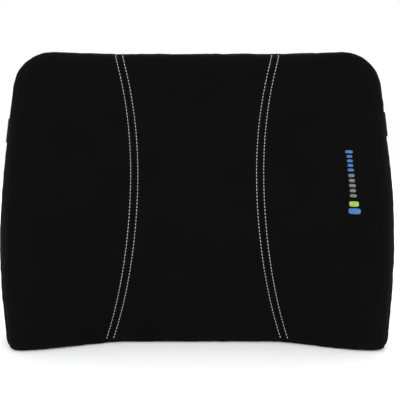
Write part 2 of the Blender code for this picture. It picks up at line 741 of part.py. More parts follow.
pull_y = (PIN_Y - PULL_T / 2, PIN_Y + PULL_T / 2)
pull = zip_block("zip_pull", (-PULL_LENGTH, PULL_PAST_PIN), pull_y, PULL_HALF, METAL)
eye = zip_block("pull_eye", (-EYE_FAR, EYE_NEAR), (0.0, PIN_Y + EYE_DEPTH), EYE_HALF)
combine(pull, "DIFFERENCE", eye)
combine(pull, "UNION", rod("pull_pin", pin, PIN_R, PIN_HALF, "Z"))


# ---------------------------------------------------------------- elastic strap
def strap(name, side, anchor_z, bar_x, tail):
    """Webbing from the side gusset, round the back and through the buckle's bar, folded back."""
    low, high = MARK["top_end"], MARK["base_start"]
    for _ in range(50):
        s = (low + high) / 2
        low, high = (s, high) if outline(s)[1] > anchor_z else (low, s)
    rings = []
    near, far = -GAP, -GAP - WEBBING_T
    for turn in SEWN_TURNS:
        below = ("rim", side * (s + WEBBING_W / 2), turn)
        above = ("rim", side * (s - WEBBING_W / 2), turn)
        rings.append([locate(below, near), locate(above, near), locate(above, far), locate(below, far)])
    start = abs(rings[-1][1][0]) - LEAVES_BACK
    main_y = STRAP_Y + FOLD
    lift = main_y - GAP - WEBBING_T / 2
    line = []
    for x in between(start, STRAP_STRAIGHT, BEND_STEPS):
        q = (x - STRAP_STRAIGHT) / (start - STRAP_STRAIGHT)
        y = back_y(x) + GAP + WEBBING_T / 2 + lift * 0.5 * (1 + math.cos(math.pi * q))
        line.append((side * x, y, mix(STRAP_Z, anchor_z, ease(q))))
    line += [(x, main_y, STRAP_Z) for x in between(side * STRAP_STRAIGHT, bar_x, 2)[1:]]
    for i in range(1, FOLD_STEPS):
        angle = math.pi / 2 - i * math.pi / FOLD_STEPS
        line.append((bar_x - side * FOLD * math.cos(angle), STRAP_Y + FOLD * math.sin(angle), STRAP_Z))
    line += [(x, STRAP_Y - FOLD, STRAP_Z) for x in (bar_x, bar_x + side * tail)]
    for i, (x, y, z) in enumerate(line):
        before, after = np.array(line[max(i - 1, 0)]), np.array(line[min(i + 1, len(line) - 1)])
        along = (after - before)[:2]
        along = along / np.linalg.norm(along)
        out = np.array([along[1], -along[0], 0.0]) * side
        centre, up = np.array([x, y, z]), np.array([0.0, 0.0, WEBBING_W / 2])
        inside, outside = centre - out * WEBBING_T / 2, centre + out * WEBBING_T / 2
        rings.append([inside - up, inside + up, outside + up, outside - up])
    loft(name, rings, WEBBING)


strap("strap_left", -1, STRAP_LEFT_AT * HEIGHT, BAR_LEFT, TAIL_LEFT)
strap("strap_right", 1, STRAP_RIGHT_AT * HEIGHT, BAR_RIGHT, TAIL_RIGHT)

# ---------------------------------------------------------------- side-release buckle
buckle = bpy.data.objects.new("strap_buckle_mount", None)
assembly.objects.link(buckle)
buckle.parent = root
buckle.location = (0.0, STRAP_Y * MM, STRAP_Z * MM)
buckle["origin_mm"] = [0.0, STRAP_Y, STRAP_Z]


def strap_box(name, x, y, z, slot=None, **more):
    """Block placed from the strap's middle point."""
    low = (x[0], STRAP_Y + y[0], STRAP_Z + z[0])
    return block(name, low, (x[1], STRAP_Y + y[1], STRAP_Z + z[1]), slot, **more)


def buckle_half(name, x):
    y, z = (-HALF_T, HALF_T), (-RAIL_OUT, RAIL_OUT)
    return strap_box(name, x, y, z, PLASTIC, parent=buckle, bevel=BUCKLE_EDGE)


def tail_frame(target, tag, inside, bar_x):
    """Two rails and a bar that the webbing loops round."""
    x = sorted((inside, bar_x + math.copysign(BAR_R + GAP, bar_x)))
    for edge, side in (("low", -1), ("high", 1)):
        z = sorted((side * RAIL_IN, side * RAIL_OUT))
        combine(target, "UNION", strap_box(f"{tag}_rail_{edge}", x, (-RAIL_T / 2, RAIL_T / 2), z))
    bar = rod(f"{tag}_bar", (bar_x, STRAP_Y, STRAP_Z), BAR_R, RAIL_IN + BAR_PAST_RAIL, "Z")
    combine(target, "UNION", bar)


female = buckle_half("buckle_female", SOCKET_X)
combine(female, "DIFFERENCE", strap_box("female_cavity", *CAVITY))
combine(female, "DIFFERENCE", strap_box("female_windows", *WINDOWS))
tail_frame(female, "female", SOCKET_TAIL, BAR_LEFT)

male = buckle_half("buckle_male", PLUG_X)
combine(male, "UNION", strap_box("male_tongue", *TONGUE))
tail_frame(male, "male", PLUG_TAIL, BAR_RIGHT)

for name, side in (("upper", 1), ("lower", -1)):
    shape = bmesh.new()
    flat = shape.faces.new([
        shape.verts.new((x, STRAP_Y - ARM_T / 2, STRAP_Z + side * z)) for x, z in ARM_PROFILE
    ])
    raised = bmesh.ops.extrude_face_region(shape, geom=[flat])["geom"]
    far_side = [v for v in raised if isinstance(v, bmesh.types.BMVert)]
    bmesh.ops.translate(shape, verts=far_side, vec=(0, ARM_T, 0))
    pivot = (ARM_PIVOT[0], STRAP_Y, STRAP_Z + side * ARM_PIVOT[1])
    finish_mesh("buckle_arm_" + name, shape, PLASTIC, pivot, buckle, smooth=False)


def glide_box(name, half_x, y, half_z, **more):
    x = (GLIDE_X - half_x, GLIDE_X + half_x)
    return strap_box(name, x, y, (-half_z, half_z), **more)


glide = glide_box(
    "tri_glide", GLIDE_HALF, (-LAYER - GLIDE_LIP, GLIDE_TOP), RAIL_OUT,
    slot=PLASTIC, parent=buckle, bevel=GLIDE_EDGE,
)
slots = GLIDE_HALF - GLIDE_BORDER
combine(glide, "DIFFERENCE", glide_box("glide_channel", CLEAR, (-LAYER, CLEAR), RAIL_IN))
combine(glide, "DIFFERENCE", glide_box("glide_slots", slots, (-CLEAR, 0.0), RAIL_IN))
bar_y = (-GLIDE_BAR[1], GLIDE_BAR[1])
combine(glide, "UNION", glide_box("glide_bar", GLIDE_BAR[0], bar_y, RAIL_IN + BAR_PAST_RAIL))

# ---------------------------------------------------------------- origin under the middle of the object
bpy.context.view_layer.update()
reach = [
    (made.matrix_world @ v.co).y
    for made in assembly.objects if made.type == "MESH"
    for v in made.data.vertices
]
root.location = (0.0, -(min(reach) + max(reach)) / 2, 0.0)
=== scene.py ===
"""Lumbar support cushion: the visible pieces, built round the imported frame.

Shapes are worked out in millimetres with the back plane at y = 0, then moved to the frame's place.
Seen from the front, +X is right, +Z is up and the sitter's side faces -Y.
"""
import math

import bmesh
import bpy
import numpy as np
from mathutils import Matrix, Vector, noise
from mathutils.kdtree import KDTree


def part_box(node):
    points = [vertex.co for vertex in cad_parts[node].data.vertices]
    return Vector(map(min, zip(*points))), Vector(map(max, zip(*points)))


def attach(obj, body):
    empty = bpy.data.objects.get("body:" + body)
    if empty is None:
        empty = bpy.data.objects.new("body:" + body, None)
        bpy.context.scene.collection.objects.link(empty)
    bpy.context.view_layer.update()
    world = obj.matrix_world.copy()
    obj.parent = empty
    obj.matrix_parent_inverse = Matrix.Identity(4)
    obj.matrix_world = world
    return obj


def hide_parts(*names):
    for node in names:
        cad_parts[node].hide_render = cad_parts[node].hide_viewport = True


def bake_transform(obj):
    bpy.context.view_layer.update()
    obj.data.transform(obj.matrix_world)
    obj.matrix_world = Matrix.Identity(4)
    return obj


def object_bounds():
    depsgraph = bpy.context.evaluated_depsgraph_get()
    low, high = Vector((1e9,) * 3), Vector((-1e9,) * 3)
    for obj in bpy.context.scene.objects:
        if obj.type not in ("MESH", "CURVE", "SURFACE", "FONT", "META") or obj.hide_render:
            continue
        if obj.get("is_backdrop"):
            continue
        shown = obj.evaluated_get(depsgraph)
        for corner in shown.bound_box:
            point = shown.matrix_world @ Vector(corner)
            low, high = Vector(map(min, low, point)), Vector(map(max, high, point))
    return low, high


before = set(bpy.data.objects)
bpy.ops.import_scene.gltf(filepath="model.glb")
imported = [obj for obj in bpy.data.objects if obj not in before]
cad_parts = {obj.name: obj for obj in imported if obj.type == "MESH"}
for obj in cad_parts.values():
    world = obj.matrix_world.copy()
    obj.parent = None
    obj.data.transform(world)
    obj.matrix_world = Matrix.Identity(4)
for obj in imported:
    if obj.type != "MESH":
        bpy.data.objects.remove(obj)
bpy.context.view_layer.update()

MM = 0.001
BACK_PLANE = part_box("back_upper_panel")[1][1] / MM

# Shape of the cushion
WIDTH, HEIGHT = 400.0, 304.0
WIDEST_AT = 0.25
TOP_NARROWING, BASE_NARROWING = 0.041 * WIDTH, 0.007 * WIDTH
TOP_CORNER_R, BASE_CORNER_R = 41.0, 11.0
MID_DEPTH_BASE, MID_DEPTH_APEX, MID_DEPTH_TOP = 62.0, 78.0, 38.0
APEX_AT = 0.345
WING_RISE, WING_START_AT, WING_CREST_AT, WING_FALL = 28.0, 0.35, 0.9, 0.52
SIDE_SWEEP, FLAT_HALF = 18.0, 0.325 * WIDTH
EDGE_R, EDGE_R_BASE, EDGE_R_BACK = 20.0, 8.25, 8.0
SEAM_WAIST, SEAM_TOP, SEAM_BASE, WAIST_AT = 0.16 * WIDTH, 0.206 * WIDTH, 0.2335 * WIDTH, 0.568
SEAM_TURN_TOP, SEAM_TURN_BASE, BACK_SEAM_TURN = 0.9, 0.25, 2.5
QUARTER = math.pi / 2

# Cover and its stitching
CELL = 3.2
FINE = (0.0, 0.35, 0.7, 1.1, 1.6, 2.2, 2.8, 3.25, 3.65, 4.05, 4.6, 5.4, 6.6, 8.4, 11.0)
CLOTH_T = 1.0
STITCH_OFFSET, STITCH_PITCH, STITCH_LENGTH, STITCH_R = 3.65, 3.5, 2.1, 0.4
LINE_STEP = 0.4
SIDE_PANEL_W, STRIP_W, BAND_ROWS = 112.0, 28.0, 16
BAND_ENDS = (0, 0.8, 1.8, 3.2, 5.2)
FAR_FROM_SEAM = 9.0  # seam distance given to cloth that shows no wear
MIDDLE = (0.0, -45.0, HEIGHT / 2)

# Zip
ZIP_Z, ZIP_HALF, SLOT_HALF = 40.0, 0.3 * WIDTH, 5.5
SLOT_LEAD, SLOT_CLOSE = 1.5, 6.0
SLOT_END = ZIP_HALF + SLOT_LEAD + SLOT_CLOSE
HEM_W, HEM_PAST, HEM_SIDE = 3.2, 11.0, 9.5
TAPE_FACE, TAPE_T, TAPE_W = -2.3, 0.8, 15.0
COIL_Y = -1.3

# Strap
WEBBING_W, WEBBING_T, GAP = 25.0, 1.6, 0.3
STRAP_LEFT_Z, STRAP_RIGHT_Z = 0.734 * HEIGHT, 0.755 * HEIGHT
STRAP_Y, STRAP_Z = 30.0, 0.71 * HEIGHT
STRAP_STRAIGHT = 0.245 * WIDTH
SEWN_TURN = 0.98  # where round the edge the webbing starts, just behind the front seam
BEND_START, PATH_STEP = 6.0, 0.8
PRESS_FROM, PRESS_OVER = 5.0, 14.0  # where along the tail it closes up against the main length
BAR_LEFT, BAR_RIGHT, FOLD = -28.25, 15.25, 2.6
TAIL_LEFT, TAIL_RIGHT = 30.0, 71.0


# ---------------------------------------------------------------- shape functions, on arrays
def ease(t):
    t = np.clip(t, 0.0, 1.0)
    return t * t * (3 - 2 * t)


def mix(a, b, t):
    return a + (b - a) * t


def half_width(z):
    widest = WIDEST_AT * HEIGHT
    up = TOP_NARROWING * ((z - widest) / (HEIGHT - widest)) ** 2
    down = BASE_NARROWING * ((widest - z) / widest) ** 2
    return WIDTH / 2 - np.where(z >= widest, up, down)


def middle_depth(z):
    apex = APEX_AT * HEIGHT
    low = mix(MID_DEPTH_BASE, MID_DEPTH_APEX, ease(z / apex))
    high = mix(MID_DEPTH_APEX, MID_DEPTH_TOP, ease((z - apex) / (HEIGHT - apex)))
    return np.where(z < apex, low, high)


def front_y(x, z):
    start, crest, x = WING_START_AT * WIDTH / 2, WING_CREST_AT * WIDTH / 2, np.abs(x)
    past = 1 - WING_FALL * ((x - crest) / (WIDTH / 2 - crest)) ** 2
    return -middle_depth(z) - WING_RISE * np.where(x <= crest, ease((x - start) / (crest - start)), past)


def back_y(x):
    return -SIDE_SWEEP * (np.maximum(np.abs(x) - FLAT_HALF, 0.0) / (WIDTH / 2 - FLAT_HALF)) ** 2


def seam_x(z):
    waist = WAIST_AT * HEIGHT
    up = mix(SEAM_WAIST, SEAM_TOP, ((z - waist) / (HEIGHT - waist)) ** 2)
    return np.where(z >= waist, up, mix(SEAM_WAIST, SEAM_BASE, ((waist - z) / waist) ** 2))


def side_normal(z):
    slope = (half_width(z + 0.01) - half_width(z - 0.01)) / 0.02
    return np.array([1.0, -slope]) / math.hypot(1.0, slope)


def corner(radius, at_top):
    """Height where a corner arc meets the side, and the arc's centre."""
    low, high = (HEIGHT * 0.5, HEIGHT) if at_top else (0.0, HEIGHT * 0.3)
    target = HEIGHT - radius if at_top else radius
    for _ in range(60):
        z = (low + high) / 2
        low, high = (z, high) if z - radius * side_normal(z)[1] < target else (low, z)
    return z, np.array([half_width(z), z]) - radius * side_normal(z)


def build_outline():
    """Right half of the silhouette from top centre to base centre: points, normals, lengths, landmarks."""
    top_z, top_c = corner(TOP_CORNER_R, True)
    base_z, base_c = corner(BASE_CORNER_R, False)
    points, normals, marks = [np.array([0.0, HEIGHT])], [np.array([0.0, 1.0])], {}

    def arc(centre, radius, start, end):
        for a in np.linspace(start, end, 81):
            n = np.array([math.cos(a), math.sin(a)])
            points.append(centre + radius * n)
            normals.append(n)

    marks["top_start"] = len(points)
    side = side_normal(top_z)
    arc(top_c, TOP_CORNER_R, QUARTER, math.atan2(side[1], side[0]))
    marks["top_mid"], marks["top_end"] = marks["top_start"] + 40, len(points) - 1
    for z in np.linspace(top_z, base_z, 301)[1:-1]:
        points.append(np.array([half_width(z), z]))
        normals.append(side_normal(z))
    marks["base_start"] = len(points)
    side = side_normal(base_z)
    arc(base_c, BASE_CORNER_R, math.atan2(side[1], side[0]), -QUARTER)
    marks["base_mid"], marks["base_end"] = marks["base_start"] + 40, len(points) - 1
    points.append(np.array([0.0, 0.0]))
    normals.append(np.array([0.0, -1.0]))
    points, normals = np.array(points), np.array(normals)
    length = np.concatenate([[0], np.cumsum(np.linalg.norm(np.diff(points, axis=0), axis=1))])
    return points, normals, length, {k: length[v] for k, v in marks.items()}


RIM, RIM_N, RIM_S, MARK = build_outline()
HALF_RIM = RIM_S[-1]
TOP_MID, BASE_MID = MARK["top_mid"], MARK["base_mid"]


def outline(s):
    """Silhouette points and inward normals; s runs from top centre, negative on the left."""
    side, s = np.where(s < 0, -1.0, 1.0), np.abs(s)
    side, s = np.where(s > HALF_RIM, -side, side), np.where(s > HALF_RIM, 2 * HALF_RIM - s, s)
    x, z = np.interp(s, RIM_S, RIM[:, 0]), np.interp(s, RIM_S, RIM[:, 1])
    nx, nz = np.interp(s, RIM_S, RIM_N[:, 0]), np.interp(s, RIM_S, RIM_N[:, 1])
    size = np.hypot(nx, nz)
    return side * x, z, -side * nx / size, -nz / size


def low_to_high(z):
    """0 at the base, 1 from two fifths of the height up."""
    low, high = 1.2 * BASE_CORNER_R, 0.4 * HEIGHT
    return ease((z - low) / (high - low))


def edge_radius(z):
    return mix(EDGE_R_BASE, EDGE_R, low_to_high(z))


def seam_turn(s):
    return mix(SEAM_TURN_BASE, SEAM_TURN_TOP, low_to_high(outline(s)[1]))


def stack(x, y, z):
    return np.stack(np.broadcast_arrays(x, y, z), -1).astype(float)


def front(x, z):
    return stack(x, front_y(x, z), z)


def back(x, z):
    return stack(x, back_y(x), z)


def rim(s, turn, depth=0.0):
    """Points round the edge: turn 0-1 is the front rounding, 1-2 the side wall, 2-3 the rear rounding."""
    s, turn = np.broadcast_arrays(np.asarray(s, float), np.asarray(turn, float))
    x, z, nx, nz = outline(s)
    radius = edge_radius(z)
    angle = np.clip(turn, 0, 1) * QUARTER
    inset = radius - (radius - depth) * np.sin(angle)
    xf, zf = x + nx * inset, z + nz * inset
    one = stack(xf, front_y(xf, zf) + radius - (radius - depth) * np.cos(angle), zf)
    xw, zw = x + nx * depth, z + nz * depth
    two = stack(xw, mix(front_y(xw, zw) + radius, back_y(xw) - EDGE_R_BACK, turn - 1), zw)
    angle = np.clip(3 - turn, 0, 1) * QUARTER
    inset = EDGE_R_BACK - (EDGE_R_BACK - depth) * np.sin(angle)
    xb, zb = x + nx * inset, z + nz * inset
    three = stack(xb, back_y(xb) - EDGE_R_BACK + (EDGE_R_BACK - depth) * np.cos(angle), zb)
    turn = turn[..., None]
    return np.where(turn <= 1, one, np.where(turn <= 2, two, three))


def spread(length, cell=CELL, near=(0.0,), far=(0.0,)):
    """Shares of a length from 0 to 1: given steps at both ends and even cells between them."""
    count = max(int(round((length - near[-1] - far[-1]) / cell)), 1)
    middle = np.linspace(near[-1], length - far[-1], count + 1)
    return np.concatenate([near[:-1], middle, length - np.array(far[:-1])[::-1]]) / length


def edge_height(share, at_top):
    """Height of the front panels' base or top rounding, at a share of the way to their seam."""
    radius, turn = (EDGE_R, SEAM_TURN_TOP) if at_top else (EDGE_R_BASE, SEAM_TURN_BASE)
    rise = radius * (1 - np.sin(turn * share * QUARTER))
    return HEIGHT - rise if at_top else rise


# ---------------------------------------------------------------- grids: (points, weave coordinates)
def unrolled(s, turn, face_turn, radius):
    """Cloth coordinates of rim points, laid out flat beyond the edge of their face."""
    edge = rim(s, face_turn)
    _, _, nx, nz = outline(s)
    reach = radius * np.abs(turn - face_turn) * QUARTER
    return np.stack([edge[..., 0] - nx * reach, edge[..., 2] - nz * reach], -1)


def front_rim(s, turn):
    return rim(s, turn), unrolled(s, turn, 0.0, edge_radius(outline(s)[1]))


def back_rim(s, turn):
    return rim(s, turn), unrolled(s, turn, 3.0, EDGE_R_BACK)


def on_face(surface, plan):
    return surface(plan[..., 0], plan[..., 1]), plan


def coons(left, right, low, high, us, vs):
    """Plan points (x, z) inside four edges; left and right have a row for each v, low and high for each u."""
    u, v = us[None, :, None], vs[:, None, None]
    L, R, B, T = left[:, None], right[:, None], low[None], high[None]
    bend = (1 - u) * ((1 - v) * B[:, :1] + v * T[:, :1]) + u * ((1 - v) * B[:, -1:] + v * T[:, -1:])
    return (1 - v) * B + v * T + (1 - u) * L + u * R - bend


def plan_of(points):
    return points[..., [0, 2]]


def climb(right, low_z, high_z):
    """Heights on the inner edge, in step with the side edge's own heights."""
    z = right[:, 1]
    return mix(low_z, high_z, (z - z[0]) / (z[-1] - z[0]))


SIDE_US = spread(SIDE_PANEL_W, near=FINE, far=(0, 1.4, 3.0, 5.0, 7.6))
SIDE_VS = spread(BASE_MID - TOP_MID, near=(0, 1.2, 2.4, 3.8, 5.6, 8.0), far=(0, 1.6, 4.0))
STRIP_WS = spread(STRIP_W, far=FINE)


def front_side():
    """Right front panel, from the long seam to the edge seam."""
    right = plan_of(rim(mix(BASE_MID, TOP_MID, SIDE_VS), 0.0))
    zs = climb(right, edge_height(0.0, False), edge_height(0.0, True))
    left = np.stack([seam_x(zs), zs], -1)
    starts = [seam_x(edge_height(STRIP_WS, True)), HALF_RIM - seam_x(edge_height(STRIP_WS, False))]
    high = plan_of(rim(mix(starts[0][0], TOP_MID, SIDE_US), 0.0))
    low = plan_of(rim(mix(starts[1][0], BASE_MID, SIDE_US), 0.0))
    grids = [on_face(front, coons(left, right, low, high, SIDE_US, SIDE_VS))]
    share = STRIP_WS[:, None]
    for s in (
        mix(starts[0][:, None], TOP_MID, SIDE_US[None]),
        mix(starts[1][:, None], BASE_MID, SIDE_US[None]),
        np.broadcast_to(mix(BASE_MID, TOP_MID, SIDE_VS)[None], (len(STRIP_WS), len(SIDE_VS))),
    ):
        grids.append(front_rim(s, seam_turn(s) * share))
    return grids


def front_centre():
    """Middle front panel between the two long seams."""
    across = spread(2 * SEAM_WAIST, near=FINE, far=FINE) * 2 - 1
    low, high = edge_height(0.0, False), edge_height(0.0, True)
    zs = mix(low, high, spread(high - low, near=(0, 1.2, 2.4, 3.8, 5.6, 8.0)))
    z, u = np.meshgrid(zs, across, indexing="ij")
    grids = [on_face(front, np.stack([u * seam_x(z), z], -1))]
    for at_top in (True, False):
        edge = edge_height(STRIP_WS, at_top)
        x = across[None] * seam_x(edge)[:, None]
        s = x if at_top else np.copysign(HALF_RIM - np.abs(x), x)
        grids.append(front_rim(s, seam_turn(s) * STRIP_WS[:, None]))
    return grids


def gusset(path):
    """Band round the edge from the front seam to the back seam, along a run of rim lengths."""
    probe = np.linspace(0, 1, 90)[:, None]
    turns = mix(seam_turn(path)[None], BACK_SEAM_TURN, probe)
    line = rim(np.broadcast_to(path, turns.shape), turns)
    length = np.concatenate(
        [np.zeros((1, len(path))), np.cumsum(np.linalg.norm(np.diff(line, axis=0), axis=2), axis=0)]
    )
    columns, rows = [], []
    for i in range(len(path)):
        total = length[-1, i]
        ends = np.array(FINE) * min(1.0, 0.4 * total / FINE[-1])
        middle = np.linspace(ends[-1], total - ends[-1], BAND_ROWS)
        want = np.concatenate([ends[:-1], middle, total - ends[-2::-1]])
        columns.append(np.interp(want, length[:, i], turns[:, i]))
        rows.append(want)
    turn, across = np.array(columns).T, np.array(rows).T
    s = np.broadcast_to(path, turn.shape)
    return [(rim(s, turn), np.stack([s, across], -1))]


def zip_opening(x):
    """Half height of the slot in the back, closing to nothing past the zip's ends."""
    return SLOT_HALF * (1 - ease((np.abs(x) - ZIP_HALF - SLOT_LEAD) / SLOT_CLOSE))


def rim_at_height(z):
    low, high = MARK["top_end"], MARK["base_start"]
    for _ in range(50):
        s = (low + high) / 2
        low, high = (s, high) if rim(s, 3.0)[2] > z else (low, s)
    return s


ZIP_S = rim_at_height(ZIP_Z)
ZIP_X = rim(ZIP_S, 3.0)[0]


def back_half(upper):
    """Right half of a back panel, above or below the zip line."""
    straight, closed = ZIP_HALF - 2.0, ZIP_HALF + 10.0
    closing = np.arange(straight + 1.5, closed, 1.1)
    beyond = mix(closed, ZIP_X, spread(ZIP_X - closed)[1:])
    us = np.concatenate([spread(straight) * straight, closing, beyond]) / ZIP_X
    sign, corner_s, centre_s = (1, TOP_MID, 0.0) if upper else (-1, BASE_MID, HALF_RIM)
    zip_line = np.stack([us * ZIP_X, ZIP_Z + sign * zip_opening(us * ZIP_X)], -1)
    along = mix(centre_s, corner_s, us)
    edge = plan_of(rim(along, 3.0))
    near_zip = FINE if upper else FINE[:11]
    vs = spread(abs(ZIP_S - corner_s), near=near_zip, far=(0.0, 2.0, 4.5) if upper else (0.0, 2.0))
    side_s = mix(ZIP_S, corner_s, vs)
    side = plan_of(rim(side_s, 3.0))
    zs = climb(side, zip_line[0, 1], edge[0, 1])
    inner = np.stack([np.zeros_like(zs), zs], -1)
    grids = [on_face(back, coons(inner, side, zip_line, edge, us, vs))]
    turn = mix(3.0, BACK_SEAM_TURN, spread(6.3, 1.6, far=FINE[:8]))[:, None]
    grids.append(back_rim(np.broadcast_to(along, (len(turn), len(along))), turn))
    grids.append(back_rim(np.broadcast_to(side_s, (len(turn), len(side_s))), turn))
    return grids


def mirrored(grids):
    return [(p * (-1, 1, 1), w * (-1, 1)) for p, w in grids]


# ---------------------------------------------------------------- seams
def front_seam_line(offset=0.0):
    """Points along the right long seam, moved sideways by offset, from the base seam to the top seam."""
    ws = np.linspace(1, 0, 40)
    x = seam_x(edge_height(ws, False)) + offset
    parts = [rim(HALF_RIM - x, seam_turn(HALF_RIM - x) * ws)]
    z = np.arange(edge_height(0.0, False), edge_height(0.0, True), LINE_STEP)[1:]
    parts.append(front(seam_x(z) + offset, z))
    x = seam_x(edge_height(ws[::-1], True)) + offset
    parts.append(rim(x, seam_turn(x) * ws[::-1]))
    return np.concatenate(parts)


def both_sides(points):
    return np.concatenate([points, points * (-1, 1, 1)])


def tree_of(points):
    tree = KDTree(len(points))
    for i, p in enumerate(points):
        tree.insert(p, i)
    tree.balance()
    return tree


def plain_seams():
    """Right half of the edge seams, the gussets' joints and the seam beyond the zip's ends."""
    s = np.arange(0, HALF_RIM, LINE_STEP)
    wall = np.linspace(0, 1, 160)
    joints = [rim(at, mix(seam_turn(at), BACK_SEAM_TURN, wall)) for at in (TOP_MID, BASE_MID)]
    beyond_zip = back(np.arange(SLOT_END, ZIP_X, LINE_STEP), ZIP_Z)
    round_edge = rim(ZIP_S, np.linspace(3.0, BACK_SEAM_TURN, 20))
    return np.concatenate([rim(s, seam_turn(s)), rim(s, BACK_SEAM_TURN), *joints, beyond_zip, round_edge])


def hem_lines():
    """Right half of the folded edges above and below the zip."""
    x = np.arange(0, SLOT_END, 0.3)
    return np.concatenate([back(x, ZIP_Z + k * zip_opening(x)) for k in (-1, 1)])


SEAM_TREES = [tree_of(both_sides(lines)) for lines in (plain_seams(), front_seam_line(), hem_lines())]


def seam_distances(points):
    return np.array([[tree.find(p)[2] for tree in SEAM_TREES] for p in points])


def bell(t, width):
    return np.exp(-((t / width) ** 2))


# What a seam draws in, as (depth, width): a narrow crease and the wide hollow round it
PLAIN_CREASE, PLAIN_HOLLOW = (1.75, 1.0), (1.0, 5.0)
LONG_CREASE, LONG_HOLLOW, ROW_CREASE = (1.5, 0.85), (0.9, 6.0), (0.6, 0.75)
HEM_CREASE, HEM_R, DEEPEST = (0.35, 0.7), 1.9, 2.9
BASE_TIGHTNESS, TIGHT_FROM = 0.3, 50.0  # the edge seams are slacker near the seat


def drawn(t, crease):
    depth, width = crease
    return depth * bell(t, width)


def seam_depth(points, t):
    """How far the cloth sinks at its distances from the plain seams, the long seams and the zip's hems."""
    plain_t, long_t, hem_t = t.T
    tightness = mix(BASE_TIGHTNESS, 1.0, ease(points[:, 2] / TIGHT_FROM))
    plain = tightness * (drawn(plain_t, PLAIN_CREASE) + drawn(plain_t, PLAIN_HOLLOW))
    rows = drawn(long_t - STITCH_OFFSET, ROW_CREASE)
    long_seam = drawn(long_t, LONG_CREASE) + rows + drawn(long_t, LONG_HOLLOW)
    turned = np.clip(hem_t / HEM_R, 0, 1)
    hem = HEM_R * (1 - np.sqrt(1 - (1 - turned) ** 2)) + drawn(hem_t - HEM_W, HEM_CREASE)
    return np.minimum(plain + long_seam, DEEPEST) + hem


# Unevenness of the cloth, as (height, size): broad waves, small waves and puckers by the seams
BROAD, SMALL, PUCKER = (0.7, 60.0), (0.14, 17.0), (0.5, 7.5)
PUCKER_AT, PUCKER_WIDTH, FLAT_AT_SEAM = 6.0, 5.5, 2.5


def ripple(point, kind):
    height, size = kind
    return height * noise.noise(point / size)


def unevenness(points, t):
    """Slight hand-made irregularity, with puckers that fade away from the seams."""
    near_seam = bell(t[:, :2].min(axis=1) - PUCKER_AT, PUCKER_WIDTH)
    out = np.empty(len(points))
    for i, p in enumerate(points):
        v = Vector(p)
        out[i] = ripple(v, BROAD) + ripple(v, SMALL) + ripple(v, PUCKER) * near_seam[i]
    return out * np.clip(t.min(axis=1) / FLAT_AT_SEAM, 0, 1)


# ---------------------------------------------------------------- cloth simulation of the filled cover
SIM_VOXEL, SIM_FRAMES = 0.005, 20
SWELL_LIMIT, SWELL_SHARE = 5.0, 0.8  # the most a point may move, and the share of it that is used
QUICK_SWELL, QUICK_FADE = 2.2, 28.0
PIN_REACH, SEAT_REACH = 6.5, 5.5
STRAP_ZONE_X, STRAP_ZONE_Z, STRAP_ZONE_Y = 148, (198, 244), -66
ZIP_ZONE_PAST, ZIP_ZONE_HALF, ZIP_ZONE_Y = 8, 13, -12


def held_still(p, nearest):
    """True where the filled cover can't swell: at seams, on the seat, under the strap and behind the zip."""
    x, y, z = abs(p[0]), p[1], p[2]
    under_strap = x > STRAP_ZONE_X and STRAP_ZONE_Z[0] < z < STRAP_ZONE_Z[1] and y > STRAP_ZONE_Y
    at_zip = x < ZIP_HALF + ZIP_ZONE_PAST and abs(z - ZIP_Z) < ZIP_ZONE_HALF and y > ZIP_ZONE_Y
    return nearest < PIN_REACH or z < SEAT_REACH or under_strap or at_zip


def simulate():
    """Inflate the core between its pinned seams. Gives its rest points (mm) and how far each one moves."""
    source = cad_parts["foam_core"]
    pad = bpy.data.objects.new("core_swell", source.data.copy())
    bpy.context.scene.collection.objects.link(pad)
    pad.data.transform(source.matrix_world)
    remesh = pad.modifiers.new("even_mesh", "REMESH")
    remesh.mode, remesh.voxel_size = "VOXEL", SIM_VOXEL
    graph = bpy.context.evaluated_depsgraph_get()
    even = bpy.data.meshes.new_from_object(pad.evaluated_get(graph))
    pad.modifiers.clear()
    pad.data = even
    rest = np.array([v.co for v in even.vertices]) / MM - (0, BACK_PLANE, 0)
    nearest = seam_distances(rest).min(axis=1)
    group = pad.vertex_groups.new(name="held")
    group.add([i for i, p in enumerate(rest) if held_still(p, nearest[i])], 1.0, "REPLACE")
    cloth = pad.modifiers.new("fill", "CLOTH")
    settings = cloth.settings
    settings.quality, settings.mass = 5, 0.3
    settings.use_pressure, settings.uniform_pressure_force = True, 4.0
    settings.tension_stiffness = settings.compression_stiffness = 15.0
    settings.bending_stiffness = 0.5
    settings.vertex_group_mass = "held"
    settings.effector_weights.gravity = 0.0
    cloth.point_cache.frame_start, cloth.point_cache.frame_end = 1, SIM_FRAMES
    for number in range(1, SIM_FRAMES + 1):
        bpy.context.scene.frame_set(number)
    graph = bpy.context.evaluated_depsgraph_get()
    grown = pad.evaluated_get(graph).to_mesh()
    moved = np.array([v.co for v in grown.vertices]) / MM - (0, BACK_PLANE, 0) - rest
    size = np.linalg.norm(moved, axis=1, keepdims=True)
    moved *= np.minimum(1.0, SWELL_LIMIT / np.maximum(size, 1e-9))
    bpy.data.objects.remove(pad)
    bpy.context.scene.frame_set(1)
    return rest, moved


swell_rest, swell_move = simulate()
swell_tree = tree_of(swell_rest)


def swelling(points, normals, t):
    """How far the filling moves points of the cover."""
    if swell_tree is None:
        return normals * (QUICK_SWELL * (1 - bell(t.min(axis=1), QUICK_FADE)))[:, None]
    out = np.empty_like(points)
    for i, p in enumerate(points):
        found = swell_tree.find_n(p, 9)
        weight = np.array([1.0 / (0.5 + f[2]) ** 2 for f in found])
        out[i] = (swell_move[[f[1] for f in found]] * weight[:, None]).sum(axis=0) / weight.sum()
    return out * SWELL_SHARE


